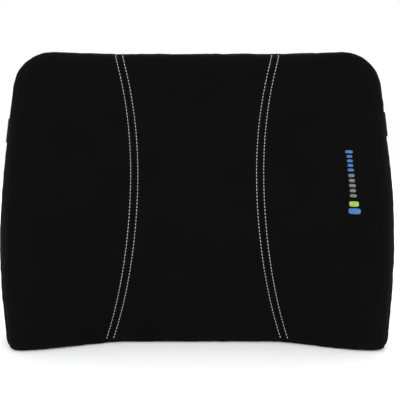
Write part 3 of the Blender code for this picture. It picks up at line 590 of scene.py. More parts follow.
def settle(points, normals):
    """Points of the bare shape, moved to where the sewn and filled cover has them."""
    t = seam_distances(points)
    out = unevenness(points, t) - seam_depth(points, t)
    return points + normals * out[:, None] + swelling(points, normals, t), t


# ---------------------------------------------------------------- meshes
def metres(points):
    return (np.asarray(points, float) + (0.0, BACK_PLANE, 0.0)) * MM


def add_object(name, points, faces, material, smooth=True, **attributes):
    """Mesh object from points in mm, with float or vector attributes on its points."""
    mesh = bpy.data.meshes.new(name)
    mesh.from_pydata(metres(points).tolist(), [], [tuple(int(i) for i in f) for f in faces])
    for key, values in attributes.items():
        values = np.asarray(values, np.float32)
        if values.ndim == 2:
            layer = mesh.attributes.new(key, "FLOAT_VECTOR", "POINT")
            full = np.zeros((len(values), 3), np.float32)
            full[:, : values.shape[1]] = values
            layer.data.foreach_set("vector", full.ravel())
        else:
            mesh.attributes.new(key, "FLOAT", "POINT").data.foreach_set("value", values)
    mesh.materials.append(material)
    if smooth:
        mesh.shade_smooth()
    made = bpy.data.objects.new(name, mesh)
    bpy.context.scene.collection.objects.link(made)
    return made


def finish_piece(made, body, slot, *nodes):
    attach(made, body)
    if nodes:
        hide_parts(*nodes)
    return made


def quads(rows, columns, closed=False):
    """Faces of a grid of points; closed joins the last column to the first."""
    ids = np.arange(rows * columns).reshape(rows, columns)
    if closed:
        ids = np.concatenate([ids, ids[:, :1]], axis=1)
    return np.stack([ids[:-1, :-1], ids[:-1, 1:], ids[1:, 1:], ids[1:, :-1]], -1).reshape(-1, 4)


def end_caps(rows, sides):
    """Faces that close the first and the last ring of a tube."""
    return [list(range(sides))[::-1], list(range((rows - 1) * sides, rows * sides))]


def join_grids(grids):
    """One mesh from several grids, with their shared edges merged. Gives points, weave, faces, normals."""
    points, weave, faces, base = [], [], [], 0
    for p, w in grids:
        points.append(p.reshape(-1, 3))
        weave.append(w.reshape(-1, 2))
        faces.append(quads(*p.shape[:2]) + base)
        base += p.shape[0] * p.shape[1]
    points, weave, faces = np.concatenate(points), np.concatenate(weave), np.concatenate(faces)
    shape = bmesh.new()
    layer = shape.verts.layers.float_vector.new("weave")
    verts = []
    for p, w in zip(points, weave):
        v = shape.verts.new(p)
        v[layer] = (w[0], w[1], 0.0)
        verts.append(v)
    for face in faces:
        shape.faces.new([verts[i] for i in face])
    bmesh.ops.remove_doubles(shape, verts=shape.verts, dist=0.02)
    bmesh.ops.recalc_face_normals(shape, faces=shape.faces)
    shape.normal_update()
    middle = Vector(MIDDLE)
    outward = sum(f.normal.dot(f.calc_center_median() - middle) * f.calc_area() for f in shape.faces)
    if outward < 0:
        bmesh.ops.reverse_faces(shape, faces=shape.faces)
        shape.normal_update()
    shape.verts.index_update()
    points = np.array([v.co for v in shape.verts])
    normals = np.array([v.normal for v in shape.verts])
    weave = np.array([v[layer][:2] for v in shape.verts])
    faces = [[v.index for v in f.verts] for f in shape.faces]
    border = [
        [v.index for v in (loop.vert, loop.link_loop_next.vert)]
        for e in shape.edges if e.is_boundary for loop in e.link_loops
    ]
    shape.free()
    return points, weave, faces, normals, border


def vertex_normals(points, faces):
    total = np.zeros_like(points)
    quad = np.array([f if len(f) == 4 else [*f, f[-1]] for f in faces])
    normal = np.cross(points[quad[:, 2]] - points[quad[:, 0]], points[quad[:, 3]] - points[quad[:, 1]])
    for k in range(4):
        np.add.at(total, quad[:, k], normal)
    return total / np.maximum(np.linalg.norm(total, axis=1, keepdims=True), 1e-12)


def cover_panel(name, grids, material, slot, *nodes):
    """A sewn panel: a closed shell of cloth, sunk at its seams and filled out between them."""
    points, weave, faces, normals, border = join_grids(grids)
    outer, t = settle(points, normals)
    inner = outer - vertex_normals(outer, faces) * CLOTH_T
    n = len(points)
    shell = list(faces) + [[i + n for i in reversed(f)] for f in faces]
    shell += [[b, a, a + n, b + n] for a, b in border]
    made = add_object(
        name, np.concatenate([outer, inner]), shell, material,
        weave=np.tile(weave, (2, 1)), seam=np.tile(t.min(axis=1), 2),
    )
    finish_piece(made, "cushion", slot, *nodes)
    return made


def tube(points, radius, sides):
    """Points and faces of a closed round tube along a line of points."""
    points = np.asarray(points, float)
    along = np.gradient(points, axis=0)
    along /= np.linalg.norm(along, axis=1, keepdims=True)
    side = np.cross(along[0], (0.31, 0.52, 0.79))
    rings, radius = [], np.broadcast_to(radius, len(points))
    for p, t, r in zip(points, along, radius):
        side = side - t * side.dot(t)
        side /= np.linalg.norm(side)
        other = np.cross(t, side)
        a = np.arange(sides) * math.tau / sides
        rings.append(p + r * (np.cos(a)[:, None] * side + np.sin(a)[:, None] * other))
    faces = quads(len(rings), sides, closed=True).tolist()
    return np.concatenate(rings), faces + end_caps(len(rings), sides)


def gather(parts):
    """Several (points, faces) as one."""
    points, faces, base = [], [], 0
    for p, f in parts:
        points.append(p)
        faces += [[i + base for i in face] for face in f]
        base += len(p)
    return np.concatenate(points), faces


def stitches(line, normals, pitch=STITCH_PITCH, length=STITCH_LENGTH, radius=STITCH_R, lift=0.2):
    """Thread showing along a line as a row of short arched stitches."""
    run = np.concatenate([[0], np.cumsum(np.linalg.norm(np.diff(line, axis=0), axis=1))])
    count = int((run[-1] - length) / pitch) + 1
    start = (run[-1] - (count - 1) * pitch - length) / 2
    q = np.array([0.0, 0.07, 0.22, 0.5, 0.78, 0.93, 1.0])
    swell = np.array([0.35, 0.75, 0.97, 1.0, 0.97, 0.75, 0.35])
    arch = np.array([-0.75, -0.35, 0.0, 0.1, 0.0, -0.35, -0.75]) * radius
    parts = []
    for i in range(count):
        at = start + i * pitch + q * length
        p = np.stack([np.interp(at, run, line[:, k]) for k in range(3)], -1)
        n = np.stack([np.interp(at, run, normals[:, k]) for k in range(3)], -1)
        parts.append(tube(p + n * (lift + arch)[:, None], radius * swell, 7))
    return gather(parts)


# ---------------------------------------------------------------- materials
def new_material(name, colour, roughness, **sockets):
    made = bpy.data.materials.new(name)
    made.use_nodes = True
    shader = made.node_tree.nodes["Principled BSDF"]
    shader.inputs["Base Color"].default_value = (*colour, 1.0)
    shader.inputs["Roughness"].default_value = roughness
    for key, value in sockets.items():
        shader.inputs[key.replace("_", " ")].default_value = value
    made.diffuse_color = (*colour, 1.0)
    return made, made.node_tree, shader


def add_node(tree, kind, inputs=(), **settings):
    made = tree.nodes.new("ShaderNode" + kind)
    for key, value in settings.items():
        setattr(made, key, value)
    for key, value in dict(inputs).items():
        if isinstance(value, bpy.types.NodeSocket):
            tree.links.new(value, made.inputs[key])
        else:
            made.inputs[key].default_value = value
    return made


def maths(tree, operation, a, b):
    return add_node(tree, "Math", {0: a, 1: b}, operation=operation).outputs[0]


def ranged(tree, value, low, high, to_low, to_high):
    return add_node(tree, "MapRange", {0: value, 1: low, 2: high, 3: to_low, 4: to_high}).outputs[0]


def wave(tree, vector, pitch, axis):
    """Soft ridges with a pitch in the coordinates' own unit."""
    inputs = {"Vector": vector, "Scale": 0.31416 / pitch, "Distortion": 0.6, "Detail Scale": 2.0}
    return add_node(tree, "TexWave", inputs, bands_direction=axis).outputs["Fac"]


def object_noise(tree, scale, detail=3.0):
    where = add_node(tree, "TexCoord").outputs["Object"]
    return add_node(tree, "TexNoise", {"Vector": where, "Scale": scale, "Detail": detail}).outputs["Fac"]


def tint(tree, shader, colour, shade, low, high):
    """Base colour multiplied by a shade between low and high."""
    factor = ranged(tree, shade, 0.0, 1.0, low, high)
    scaled = add_node(tree, "VectorMath", {0: colour, "Scale": factor}, operation="SCALE")
    tree.links.new(scaled.outputs[0], shader.inputs["Base Color"])


def bump(tree, shader, layers):
    """Bump from (height, strength, distance in m) layers, one over another."""
    normal = None
    for height, strength, distance in layers:
        inputs = {"Height": height, "Strength": strength, "Distance": distance}
        if normal is not None:
            inputs["Normal"] = normal
        normal = add_node(tree, "Bump", inputs).outputs[0]
    tree.links.new(normal, shader.inputs["Normal"])


def woven(name, colour, roughness, pitch, ribs=None, wear=1.6, **sockets):
    """Cloth with a weave in its own weave coordinates (mm), painted shade in the weave's grooves with lighter
    thread tops, uneven dye and paler worn seam ridges.
    """
    made, tree, shader = new_material(name, colour, roughness, **sockets)
    cloth = add_node(tree, "Attribute", attribute_name="weave").outputs["Vector"]
    warp, weft = wave(tree, cloth, pitch, "X"), wave(tree, cloth, ribs or pitch, "Y")
    weave = maths(tree, "ADD", maths(tree, "MULTIPLY", warp, 0.5), maths(tree, "MULTIPLY", weft, 0.5))
    patchy, fuzz = object_noise(tree, 26.0), object_noise(tree, 900.0, 2.0)
    seam = add_node(tree, "Attribute", attribute_name="seam").outputs["Fac"]
    worn = ranged(tree, seam, 0.8, 7.0, wear, 1.0)
    # the weave's share of the colour is painted shade: darker in the grooves between threads, lighter on the
    # raised thread tops
    shade = maths(tree, "MULTIPLY", worn, maths(tree, "ADD", maths(tree, "MULTIPLY", weave, 0.5), patchy))
    tint(tree, shader, colour, maths(tree, "MULTIPLY", shade, 0.66), 0.45, 1.55)
    rough = maths(tree, "ADD", maths(tree, "MULTIPLY", patchy, 0.5), maths(tree, "MULTIPLY", weave, 0.5))
    rough = ranged(tree, rough, 0.0, 1.0, roughness - 0.1, min(roughness + 0.1, 1.0))
    tree.links.new(rough, shader.inputs["Roughness"])
    bump(tree, shader, [(fuzz, 0.25, 0.0004), (weave, 0.55, 0.00035)])
    return made


def thread_material(name, colour, **sockets):
    made, tree, shader = new_material(name, colour, 0.6, Sheen_Weight=0.15, Sheen_Roughness=0.4, **sockets)
    strand, patchy = object_noise(tree, 2600.0, 2.0), object_noise(tree, 120.0, 2.0)
    tint(tree, shader, colour, patchy, 0.75, 1.25)
    tree.links.new(ranged(tree, strand, 0.0, 1.0, 0.5, 0.75), shader.inputs["Roughness"])
    bump(tree, shader, [(strand, 0.5, 0.0002)])
    return made


def hard_material(name, colour, roughness, grain, scuff=1.8, **sockets):
    """Moulded or painted surface: fine grain, rubbed patches, paler edges."""
    made, tree, shader = new_material(name, colour, roughness, **sockets)
    fine, rubbed = object_noise(tree, grain, 2.0), object_noise(tree, 70.0, 4.0)
    edge = add_node(tree, "NewGeometry").outputs["Pointiness"]
    lift = ranged(tree, edge, 0.52, 0.62, 0.0, scuff)
    tint(tree, shader, colour, maths(tree, "ADD", rubbed, lift), 0.7, 1.4)
    rough = ranged(tree, rubbed, 0.3, 0.7, roughness - 0.08, roughness + 0.12)
    tree.links.new(rough, shader.inputs["Roughness"])
    bump(tree, shader, [(fine, 0.2, 0.0002), (rubbed, 0.06, 0.0005)])
    return made


SOFT_GLOSS = {"Specular_IOR_Level": 0.028, "Sheen_Weight": 0.005, "Sheen_Roughness": 0.5}
COVER = woven("cover_cloth", (0.0018, 0.0018, 0.00184), 0.92, 0.9, **SOFT_GLOSS)
REAR = woven("back_knit", (0.0034, 0.0034, 0.0036), 0.9, 1.5, ribs=1.9, **SOFT_GLOSS)
WEBBING = woven("elastic_webbing_cloth", (0.0055, 0.0055, 0.0060), 0.72, 1.1, ribs=2.2, wear=1.0,
                Specular_IOR_Level=0.2, Sheen_Weight=0.03, Sheen_Roughness=0.4)
TAPE = woven("zip_tape_cloth", (0.0060, 0.0060, 0.0064), 0.8, 0.8, wear=1.0, **SOFT_GLOSS)
GREY_THREAD = thread_material("grey_thread_cord", (0.33, 0.33, 0.34))
DARK_THREAD = thread_material("dark_thread_cord", (0.018, 0.018, 0.02))
COIL = hard_material("zip_coil_nylon", (0.014, 0.014, 0.015), 0.36, 1500.0, Specular_IOR_Level=0.4)
METAL = hard_material("zip_gunmetal", (0.11, 0.11, 0.115), 0.34, 1100.0, scuff=3.0, Metallic=0.9)
PLASTIC = hard_material("black_acetal_moulded", (0.011, 0.011, 0.0115), 0.4, 1300.0, Specular_IOR_Level=0.35)

# ---------------------------------------------------------------- cover
right_front = front_side()
cover_panel("cushion_front_centre", front_centre(), COVER, "cover_fabric", "front_centre_panel", "foam_core")
cover_panel("cushion_front_right", right_front, COVER, "cover_fabric", "front_right_panel")
cover_panel("cushion_front_left", mirrored(right_front), COVER, "cover_fabric", "front_left_panel")
top_half = mix(0.0, TOP_MID, spread(TOP_MID, far=BAND_ENDS))
base_half = mix(HALF_RIM, BASE_MID, spread(HALF_RIM - BASE_MID, far=BAND_ENDS))
cover_panel("cushion_gusset_top", gusset(np.concatenate([-top_half[:0:-1], top_half])),
            COVER, "cover_fabric", "top_gusset")
cover_panel("cushion_gusset_base", gusset(np.concatenate([base_half[:0:-1], 2 * HALF_RIM - base_half])),
            COVER, "cover_fabric", "base_gusset")
side_band = gusset(mix(TOP_MID, BASE_MID, spread(BASE_MID - TOP_MID, near=BAND_ENDS, far=BAND_ENDS)))
cover_panel("cushion_gusset_right", side_band, COVER, "cover_fabric", "side_gusset_right")
cover_panel("cushion_gusset_left", mirrored(side_band), COVER, "cover_fabric", "side_gusset_left")
for name, upper in (("upper", True), ("lower", False)):
    half = back_half(upper)
    cover_panel("cushion_back_" + name, half + mirrored(half), REAR, "back_fabric", f"back_{name}_panel")


# ---------------------------------------------------------------- topstitching
def line_normals(line, across):
    """Outward normals of a surface line, square to its own direction and to the direction across."""
    along = np.gradient(line, axis=0)
    normal = np.cross(along, np.broadcast_to(across, line.shape))
    normal /= np.linalg.norm(normal, axis=1, keepdims=True)
    return normal * np.where((normal * (line - MIDDLE)).sum(axis=1) < 0, -1, 1)[:, None]


for side, tag in ((-1, "left"), (1, "right")):
    for edge, offset in (("inner", -STITCH_OFFSET), ("outer", STITCH_OFFSET)):
        line = front_seam_line(offset)[::2] * (side, 1, 1)
        normals = line_normals(line, (1.0, 0.0, 0.0))
        line = settle(line, normals)[0]
        made = add_object(f"stitching_{tag}_{edge}", *stitches(line, normals), GREY_THREAD)
        finish_piece(made, "cushion", "grey_thread", f"topstitch_{tag}_{edge}")


def back_stitches(x, z, pitch, length, radius):
    line = back(x, z)
    normals = np.tile((0.0, 1.0, 0.0), (len(line), 1))
    return stitches(settle(line, normals)[0], normals, pitch, length, radius)


hem_rows = []
for k in (-1, 1):
    x = np.arange(-ZIP_HALF - HEM_PAST, ZIP_HALF + HEM_PAST, 0.8)
    hem_rows.append(back_stitches(x, ZIP_Z + k * (zip_opening(x) + HEM_W), 3.0, 2.2, 0.32))
for k in (-1, 1):
    z = np.linspace(ZIP_Z - HEM_W, ZIP_Z + HEM_W, 20)
    hem_rows.append(back_stitches(np.full_like(z, k * (ZIP_HALF + HEM_SIDE)), z, 1.1, 1.0, 0.3))
finish_piece(add_object("stitching_zip_hem", *gather(hem_rows), DARK_THREAD), "cushion", "back_fabric")

# ---------------------------------------------------------------- emblem: a column of satin-stitch bars
BLUE, GREY, LIME = (0.011, 0.08, 0.235), (0.085, 0.085, 0.079), (0.18, 0.28, 0.03)
EMBLEM_X, EMBLEM_Z, EMBLEM_SLANT = 0.38 * WIDTH, 0.569 * HEIGHT, -0.06
PAD_HEIGHT, RIDGE, THREAD_PITCH = 0.85, 0.09, 0.9
BARS = [  # height on the emblem, width, height, colour
    (29.4, 7.6, 3.1, "blue"), (25.0, 5.6, 3.0, "blue"), (20.7, 5.8, 3.0, "blue"), (16.4, 5.6, 3.0, "blue"),
    (12.0, 6.2, 3.0, "blue"), (6.8, 6.2, 3.4, "grey"), (1.9, 5.8, 3.4, "grey"), (-2.9, 6.6, 3.4, "grey"),
    (-7.7, 6.0, 3.4, "grey"), (-12.5, 6.8, 3.4, "grey"), (-20.4, 9.6, 5.6, "lime"),
    (-27.3, 12.0, 6.0, "blue"),
]


def satin_pad(x, z, width, height):
    """Raised rounded patch of side-by-side threads lying across its height."""
    rings, sides = 9, 48
    a = np.arange(sides) * math.tau / sides
    edge_x = np.sign(np.cos(a)) * np.abs(np.cos(a)) ** 0.5 * width / 2
    edge_z = np.sign(np.sin(a)) * np.abs(np.sin(a)) ** 0.5 * height / 2
    points, heights = [], []
    for q in np.linspace(1.0, 0.06, rings):
        px, pz = x + edge_x * q, z + edge_z * q
        ridge = RIDGE * np.cos((px - x) * math.tau / THREAD_PITCH) * (q < 0.95)
        heights.append(PAD_HEIGHT * (1 - q ** 5) + ridge)
        points.append(front(px, pz))
    points, heights = np.concatenate(points), np.concatenate(heights)
    normals = np.tile(surface_normal(x, z), (len(points), 1))
    settled = settle(points, normals)[0] + normals * (heights - 0.25)[:, None]
    below = settled[:sides] - normals[:sides] * 0.5
    faces = quads(rings + 1, sides, closed=True).tolist() + end_caps(rings + 1, sides)
    return np.concatenate([below, settled]), faces


def surface_normal(x, z):
    """Outward normal of the front at (x, z)."""
    a, b = front(x + 0.5, z) - front(x - 0.5, z), front(x, z + 0.5) - front(x, z - 0.5)
    normal = np.cross(a, b)
    normal = normal if normal[1] < 0 else -normal
    return normal / np.linalg.norm(normal)


for number, (tag, colour) in enumerate((("blue", BLUE), ("grey", GREY), ("lime", LIME))):
    bars = [bar[:3] for bar in BARS if bar[3] == tag]
    pads = [satin_pad(EMBLEM_X + EMBLEM_SLANT * z, EMBLEM_Z + z, w, h) for z, w, h in bars]
    made = add_object("emblem_" + tag, *gather(pads), thread_material("satin_thread_" + tag, colour))
    finish_piece(made, "cushion", "emblem_thread", *(["emblem_patch"] if number == 0 else []))

# ---------------------------------------------------------------- hard pieces
def box_plan(x0, x1, z0, z1):
    return [(x0, z0), (x1, z0), (x1, z1), (x0, z1)]


def both(half_plan):
    """Closed plan from the points of one half, listed from left to right."""
    return list(half_plan) + [(x, -z) for x, z in reversed(half_plan)]


def rounded(points, radius, steps=4):
    """Closed plan outline with its corners rounded."""
    points, out = [np.array(p, float) for p in points], []
    for before, at, after in zip(points[-1:] + points[:-1], points, points[1:] + points[:1]):
        a, b = before - at, after - at
        reach = min(radius, np.linalg.norm(a) * 0.48, np.linalg.norm(b) * 0.48)
        p, q = at + a / np.linalg.norm(a) * reach, at + b / np.linalg.norm(b) * reach
        for t in np.linspace(0, 1, steps + 1):
            out.append((1 - t) ** 2 * p + 2 * t * (1 - t) * at + t * t * q)
    return np.array(out)


def slab(outer, y_low, y_high, edge, hole=None):
    """Plate in the XZ plane with softened edges, and an optional hole with as many points as its outline."""
    outer = np.asarray(outer, float)
    centre = outer.mean(axis=0)

    def level(loop, y, inset, sign):
        away = loop - np.roll(loop, 1, axis=0) + np.roll(loop, -1, axis=0) - loop
        normal = np.stack([away[:, 1], -away[:, 0]], -1)
        normal /= np.maximum(np.linalg.norm(normal, axis=1, keepdims=True), 1e-9)
        if (normal * (loop - centre)).sum() < 0:
            normal = -normal
        moved = loop - normal * inset * sign
        return stack(moved[:, 0], y, moved[:, 1])

    softened = [(0.0, edge), (0.13 * edge, 0.5 * edge), (0.5 * edge, 0.13 * edge), (edge, 0.0)]
    profile = [(y_low + y, inset) for y, inset in softened]
    profile += [(y_high - y, inset) for y, inset in reversed(softened)]
    rings = [level(outer, y, inset, 1) for y, inset in profile]
    n = len(outer)
    if hole is None:
        return np.concatenate(rings), quads(len(rings), n, closed=True).tolist() + end_caps(len(rings), n)
    rings += [level(np.asarray(hole, float), y, inset, -1) for y, inset in reversed(profile)]
    points, count = np.concatenate(rings), len(rings)
    faces = quads(count, n, closed=True).tolist()
    faces += [[(count - 1) * n + i, (count - 1) * n + (i + 1) % n, (i + 1) % n, i] for i in range(n)]
    return points, faces


def solid(name, parts, material, body, slot, *nodes):
    """Hard piece of one or more closed shells, with its facets shaded by angle."""
    points, faces = gather(parts)
    made = add_object(name, points, faces, material, smooth=False)
    shape = bmesh.new()
    shape.from_mesh(made.data)
    bmesh.ops.recalc_face_normals(shape, faces=shape.faces)
    shape.to_mesh(made.data)
    shape.free()
    for polygon in made.data.polygons:
        polygon.use_smooth = True
    made.data.set_sharp_from_angle(angle=math.radians(38))
    return finish_piece(made, body, slot, *nodes)


# ---------------------------------------------------------------- zip
TAPE_ROWS, TAPE_PAST = np.array([0.25, 0.6, 1.2, 2.0, 3.2, 5.0, 7.5, 10.0, 12.5, TAPE_W]), 8.0
COIL_PITCH, COIL_SIDES, COIL_WIRE_R = 1.35, 10, 0.27
COIL_REACH, COIL_RISE, COIL_MID = 1.35, 0.42, 1.15


def zip_tape(side):
    """Closed cloth tape with a ridge under its coil: points, faces and weave coordinates."""
    x, z = np.meshgrid(np.linspace(-ZIP_HALF - TAPE_PAST, ZIP_HALF + TAPE_PAST, 150), TAPE_ROWS)
    y = TAPE_FACE + 0.25 * bell(z - 1.1, 0.8) + 0.06 * np.sin(x / 9.0)
    top = stack(x, y, ZIP_Z + side * z).reshape(-1, 3)
    faces, n = quads(*x.shape), len(top)
    ids = np.arange(n).reshape(x.shape)
    loop = np.concatenate([ids[0], ids[1:, -1], ids[-1, -2::-1], ids[-2:0:-1, 0]])
    shell = faces.tolist() + (faces[:, ::-1] + n).tolist()
    shell += [[b, a, a + n, b + n] for a, b in zip(loop, np.roll(loop, -1))]
    weave = np.stack([x.ravel(), z.ravel()], -1)
    return np.concatenate([top, top - (0, TAPE_T - 0.1, 0)]), shell, np.tile(weave, (2, 1))


def zip_coil(side):
    """Teeth of one tape: a coiled wire, half a pitch out of step with the other one."""
    a = np.arange(0, 2 * ZIP_HALF / COIL_PITCH, 1 / COIL_SIDES)
    turn = (a + (0.0 if side > 0 else 0.5)) * math.tau
    z = ZIP_Z + side * (COIL_MID + COIL_REACH * np.cos(turn))
    return tube(stack(-ZIP_HALF + a * COIL_PITCH, COIL_Y + COIL_RISE * np.sin(turn), z), COIL_WIRE_R, 6)


for name, side in (("upper", 1), ("lower", -1)):
    points, faces, weave = zip_tape(side)
    seam = np.full(len(points), FAR_FROM_SEAM)
    made = add_object("zip_tape_cloth_" + name, points, faces, TAPE, weave=weave, seam=seam)
    finish_piece(made, "cushion", "zip_tape", "zip_tape_" + name)
    made = add_object("zip_teeth_" + name, *zip_coil(side), COIL)
    finish_piece(made, "cushion", "zip_coil", "zip_coil_" + name)

for name, side in (("left", -1), ("right", 1)):
    low, high = sorted((side * (ZIP_HALF + GAP), side * (ZIP_HALF + 2.5)))
    plan = rounded(box_plan(low, high, ZIP_Z - 2, ZIP_Z + 2), 0.7)
    clamp = slab(plan, TAPE_FACE + GAP, TAPE_FACE + GAP + 1.45, 0.35)
    solid("zip_stop_clamp_" + name, [clamp], METAL, "cushion", "zip_metal", "zip_stop_" + name)

SLIDER_X, PIN_Y, PULL_T, GRIP_T = ZIP_HALF - 4.8, 2.6, 1.1, 1.7


def on_slider(plan):
    return [(SLIDER_X + x, ZIP_Z + z) for x, z in plan]


def slider():
    """Wing over the teeth, two rails beside them and the saddle that holds the pull."""
    parts = [slab(rounded(on_slider(both([(-4.5, -2.6), (1.2, -3.6), (4.5, -3.5)])), 1.3), GAP, 1.5, 0.45)]
    for side in (-1, 1):
        rail = [(-4.3, 2.3), (4.4, 2.4), (4.4, 3.5), (1.2, 3.6), (-4.3, 2.7)]
        plan = rounded(on_slider((x, side * z) for x, z in rail), 0.3)
        parts.append(slab(plan, TAPE_FACE + GAP, 1.0, 0.15))
    arch = np.linspace(0, math.pi, 17)
    saddle = stack(SLIDER_X + 2.35 * np.cos(arch), 1.2 + 2.75 * np.sin(arch) ** 0.8, ZIP_Z)
    return parts + [tube(saddle, 0.72, 10)]


def pull_tab():
    """Flat tab with an eye round the saddle and four raised grips."""
    tab = rounded(on_slider(both([(-22.0, -2.2), (-14.0, -3.2), (-6.0, -2.1), (0.6, -2.3)])), 1.6, 5)
    eye = rounded(on_slider(both([(-4.6, -0.9), (-4.4, -1.2), (-2.6, -1.3), (-0.7, -1.2)])), 0.5, 5)
    parts = [slab(tab, PIN_Y - PULL_T / 2, PIN_Y + PULL_T / 2, 0.3, eye)]
    for x in (11.5, 14.0, 16.5, 19.0):
        plan = rounded(on_slider(box_plan(-x - 0.5, -x + 0.5, -1.9, 1.9)), 0.45)
        parts.append(slab(plan, PIN_Y - GRIP_T / 2, PIN_Y + GRIP_T / 2, 0.3))
    return parts


solid("zip_slider_body", slider(), METAL, "zip_runner", "zip_metal", "zip_slider")
solid("zip_pull_tab", pull_tab(), METAL, "zip_tab", "zip_metal", "zip_pull")


# ---------------------------------------------------------------- strap
def strap_path(side, anchor_z, bar_x, tail, pressed):
    """One half of the strap at even steps: lengths, centre line, width direction and outward normal."""
    low, high = MARK["top_end"], MARK["base_start"]
    for _ in range(50):
        s = (low + high) / 2
        low, high = (s, high) if outline(s)[1] > anchor_z else (low, s)
    turns = np.linspace(SEWN_TURN, 3.0, 70)
    lift = -GAP - WEBBING_T / 2
    below, above = (rim(np.full(len(turns), side * (s + k * WEBBING_W / 2)), turns, lift) for k in (1, -1))
    centre = list((below + above) / 2)
    across = list((above - below) / np.linalg.norm(above - below, axis=1, keepdims=True))
    start = abs(above[-1][0]) - BEND_START
    main_y = STRAP_Y + FOLD
    rise = main_y - GAP - WEBBING_T / 2
    line = []
    for x in np.linspace(start, STRAP_STRAIGHT, 60):
        q = (x - STRAP_STRAIGHT) / (start - STRAP_STRAIGHT)
        y = back_y(x) + GAP + WEBBING_T / 2 + rise * 0.5 * (1 + math.cos(math.pi * q))
        line.append((side * x, y, mix(STRAP_Z, anchor_z, ease(q))))
    line += [(x, main_y, STRAP_Z) for x in np.linspace(side * STRAP_STRAIGHT, bar_x, 40)[1:]]
    for a in np.linspace(QUARTER, -QUARTER, 26)[1:-1]:
        line.append((bar_x - side * FOLD * math.cos(a), STRAP_Y + FOLD * math.sin(a), STRAP_Z))
    for q in np.linspace(0, 1, 40):
        closing = pressed * ease((q * tail - PRESS_FROM) / PRESS_OVER)
        y = STRAP_Y - FOLD + (2 * FOLD - WEBBING_T - 0.1) * closing
        line.append((bar_x + side * tail * q, y, STRAP_Z))
    centre = np.array(centre + line)
    across = np.array(across + [(0.0, 0.0, 1.0)] * len(line))
    run = np.concatenate([[0], np.cumsum(np.linalg.norm(np.diff(centre, axis=0), axis=1))])
    at = np.linspace(0, run[-1], int(run[-1] / PATH_STEP))
    centre, across = (np.stack([np.interp(at, run, k[:, i]) for i in range(3)], -1) for k in (centre, across))
    along = np.gradient(centre, axis=0)
    normal = np.cross(along, across) * side
    normal /= np.linalg.norm(normal, axis=1, keepdims=True)
    return at, centre, across, normal


def ribbon_ring():
    """Cross section of the webbing: lengthwise ribs on both faces and rounded selvedges."""
    a = np.linspace(-WEBBING_W / 2 + 0.5, WEBBING_W / 2 - 0.5, 37)
    thick = WEBBING_T / 2 - 0.13 + 0.13 * np.cos(a * math.tau / 2.4)
    edge = [(WEBBING_W / 2 - 0.12, 0.45), (WEBBING_W / 2, 0.0), (WEBBING_W / 2 - 0.12, -0.45)]
    ring = list(zip(a, thick)) + edge + list(zip(a[::-1], -thick[::-1])) + [(-x, -y) for x, y in edge]
    return np.array(ring)


def strap_ribbon(name, path, material, node):
    at, centre, across, normal = path
    ring = ribbon_ring()
    points = centre[:, None] + across[:, None] * ring[None, :, :1] + normal[:, None] * ring[None, :, 1:]
    rows, n = len(at), len(ring)
    faces = quads(rows, n, closed=True).tolist() + end_caps(rows, n)
    weave = np.stack([np.repeat(at, n), np.tile(ring[:, 0], rows)], -1)
    seam = np.full(rows * n, FAR_FROM_SEAM)
    made = add_object(name, points.reshape(-1, 3), faces, material, weave=weave, seam=seam)
    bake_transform(made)
    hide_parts(node)
    return made


def on_strap(path, u, v):
    """Points on the strap's outer face at lengths u along it and v across it."""
    at, centre, across, normal = path
    c, a, n = (np.stack([np.interp(u, at, k[:, i]) for i in range(3)], -1) for k in (centre, across, normal))
    return c + a * np.asarray(v)[:, None] + n * (WEBBING_T / 2 - 0.1), n


def box_stitching(path, u0, u1, v):
    """Square of stitches with a cross inside it."""
    edges = [(u0, -v, u1, -v), (u0, v, u1, v), (u0, -v, u0, v), (u1, -v, u1, v)]
    cross = [(u0, -v, u1, v), (u0, v, u1, -v)]
    q, parts = np.linspace(0, 1, 40), []
    for from_u, from_v, to_u, to_v in edges + cross:
        points, normals = on_strap(path, mix(from_u, to_u, q), mix(from_v, to_v, q))
        parts.append(stitches(points, normals, 2.6, 2.0, 0.34, 0.12))
    return parts


BOX_HALF = 9.5
left_path = strap_path(-1, STRAP_LEFT_Z, BAR_LEFT, TAIL_LEFT, 1.0)
right_path = strap_path(1, STRAP_RIGHT_Z, BAR_RIGHT, TAIL_RIGHT, 0.0)
strap_ribbon("strap_webbing_left", left_path, WEBBING, "strap_left")
strap_ribbon("strap_webbing_right", right_path, WEBBING, "strap_right")
for tag, path in (("left", left_path), ("right", right_path)):
    sewn_box = gather(box_stitching(path, 3.0, 20.0, BOX_HALF))
    finish_piece(add_object("stitching_strap_" + tag, *sewn_box, DARK_THREAD), "cushion", "elastic_webbing")
loop_u = left_path[0][-1] - TAIL_LEFT - math.pi * FOLD
tail_box = gather(box_stitching(left_path, loop_u - 26.0, loop_u - 12.0, BOX_HALF))
finish_piece(add_object("stitching_strap_tail", *tail_box, DARK_THREAD), "strap_buckle", "elastic_webbing")

# ---------------------------------------------------------------- side-release buckle and slide
RAIL_IN, RAIL_OUT, BAR_R = 13.5, 16.0, 1.5
MOUTH, BODY_END, BUCKLE_HALF_T = 2.0, -21.0, 4.5


def strap_slab(plan, y_low, y_high, edge, corner_r=0.0, hole=None):
    """Plate placed from the strap's middle line."""
    shift = np.array([0.0, STRAP_Z])
    plan = rounded(plan, corner_r) if corner_r else np.asarray(plan, float)
    hole = None if hole is None else np.asarray(hole) + shift
    return slab(plan + shift, STRAP_Y + y_low, STRAP_Y + y_high, edge, hole)


def cross_bar(x, radius):
    """Round bar across the strap, with its ends inside the two rails."""
    z = np.linspace(-RAIL_IN - 0.9, RAIL_IN + 0.9, 25)
    return tube(stack(x, STRAP_Y, STRAP_Z + z), radius, 16)


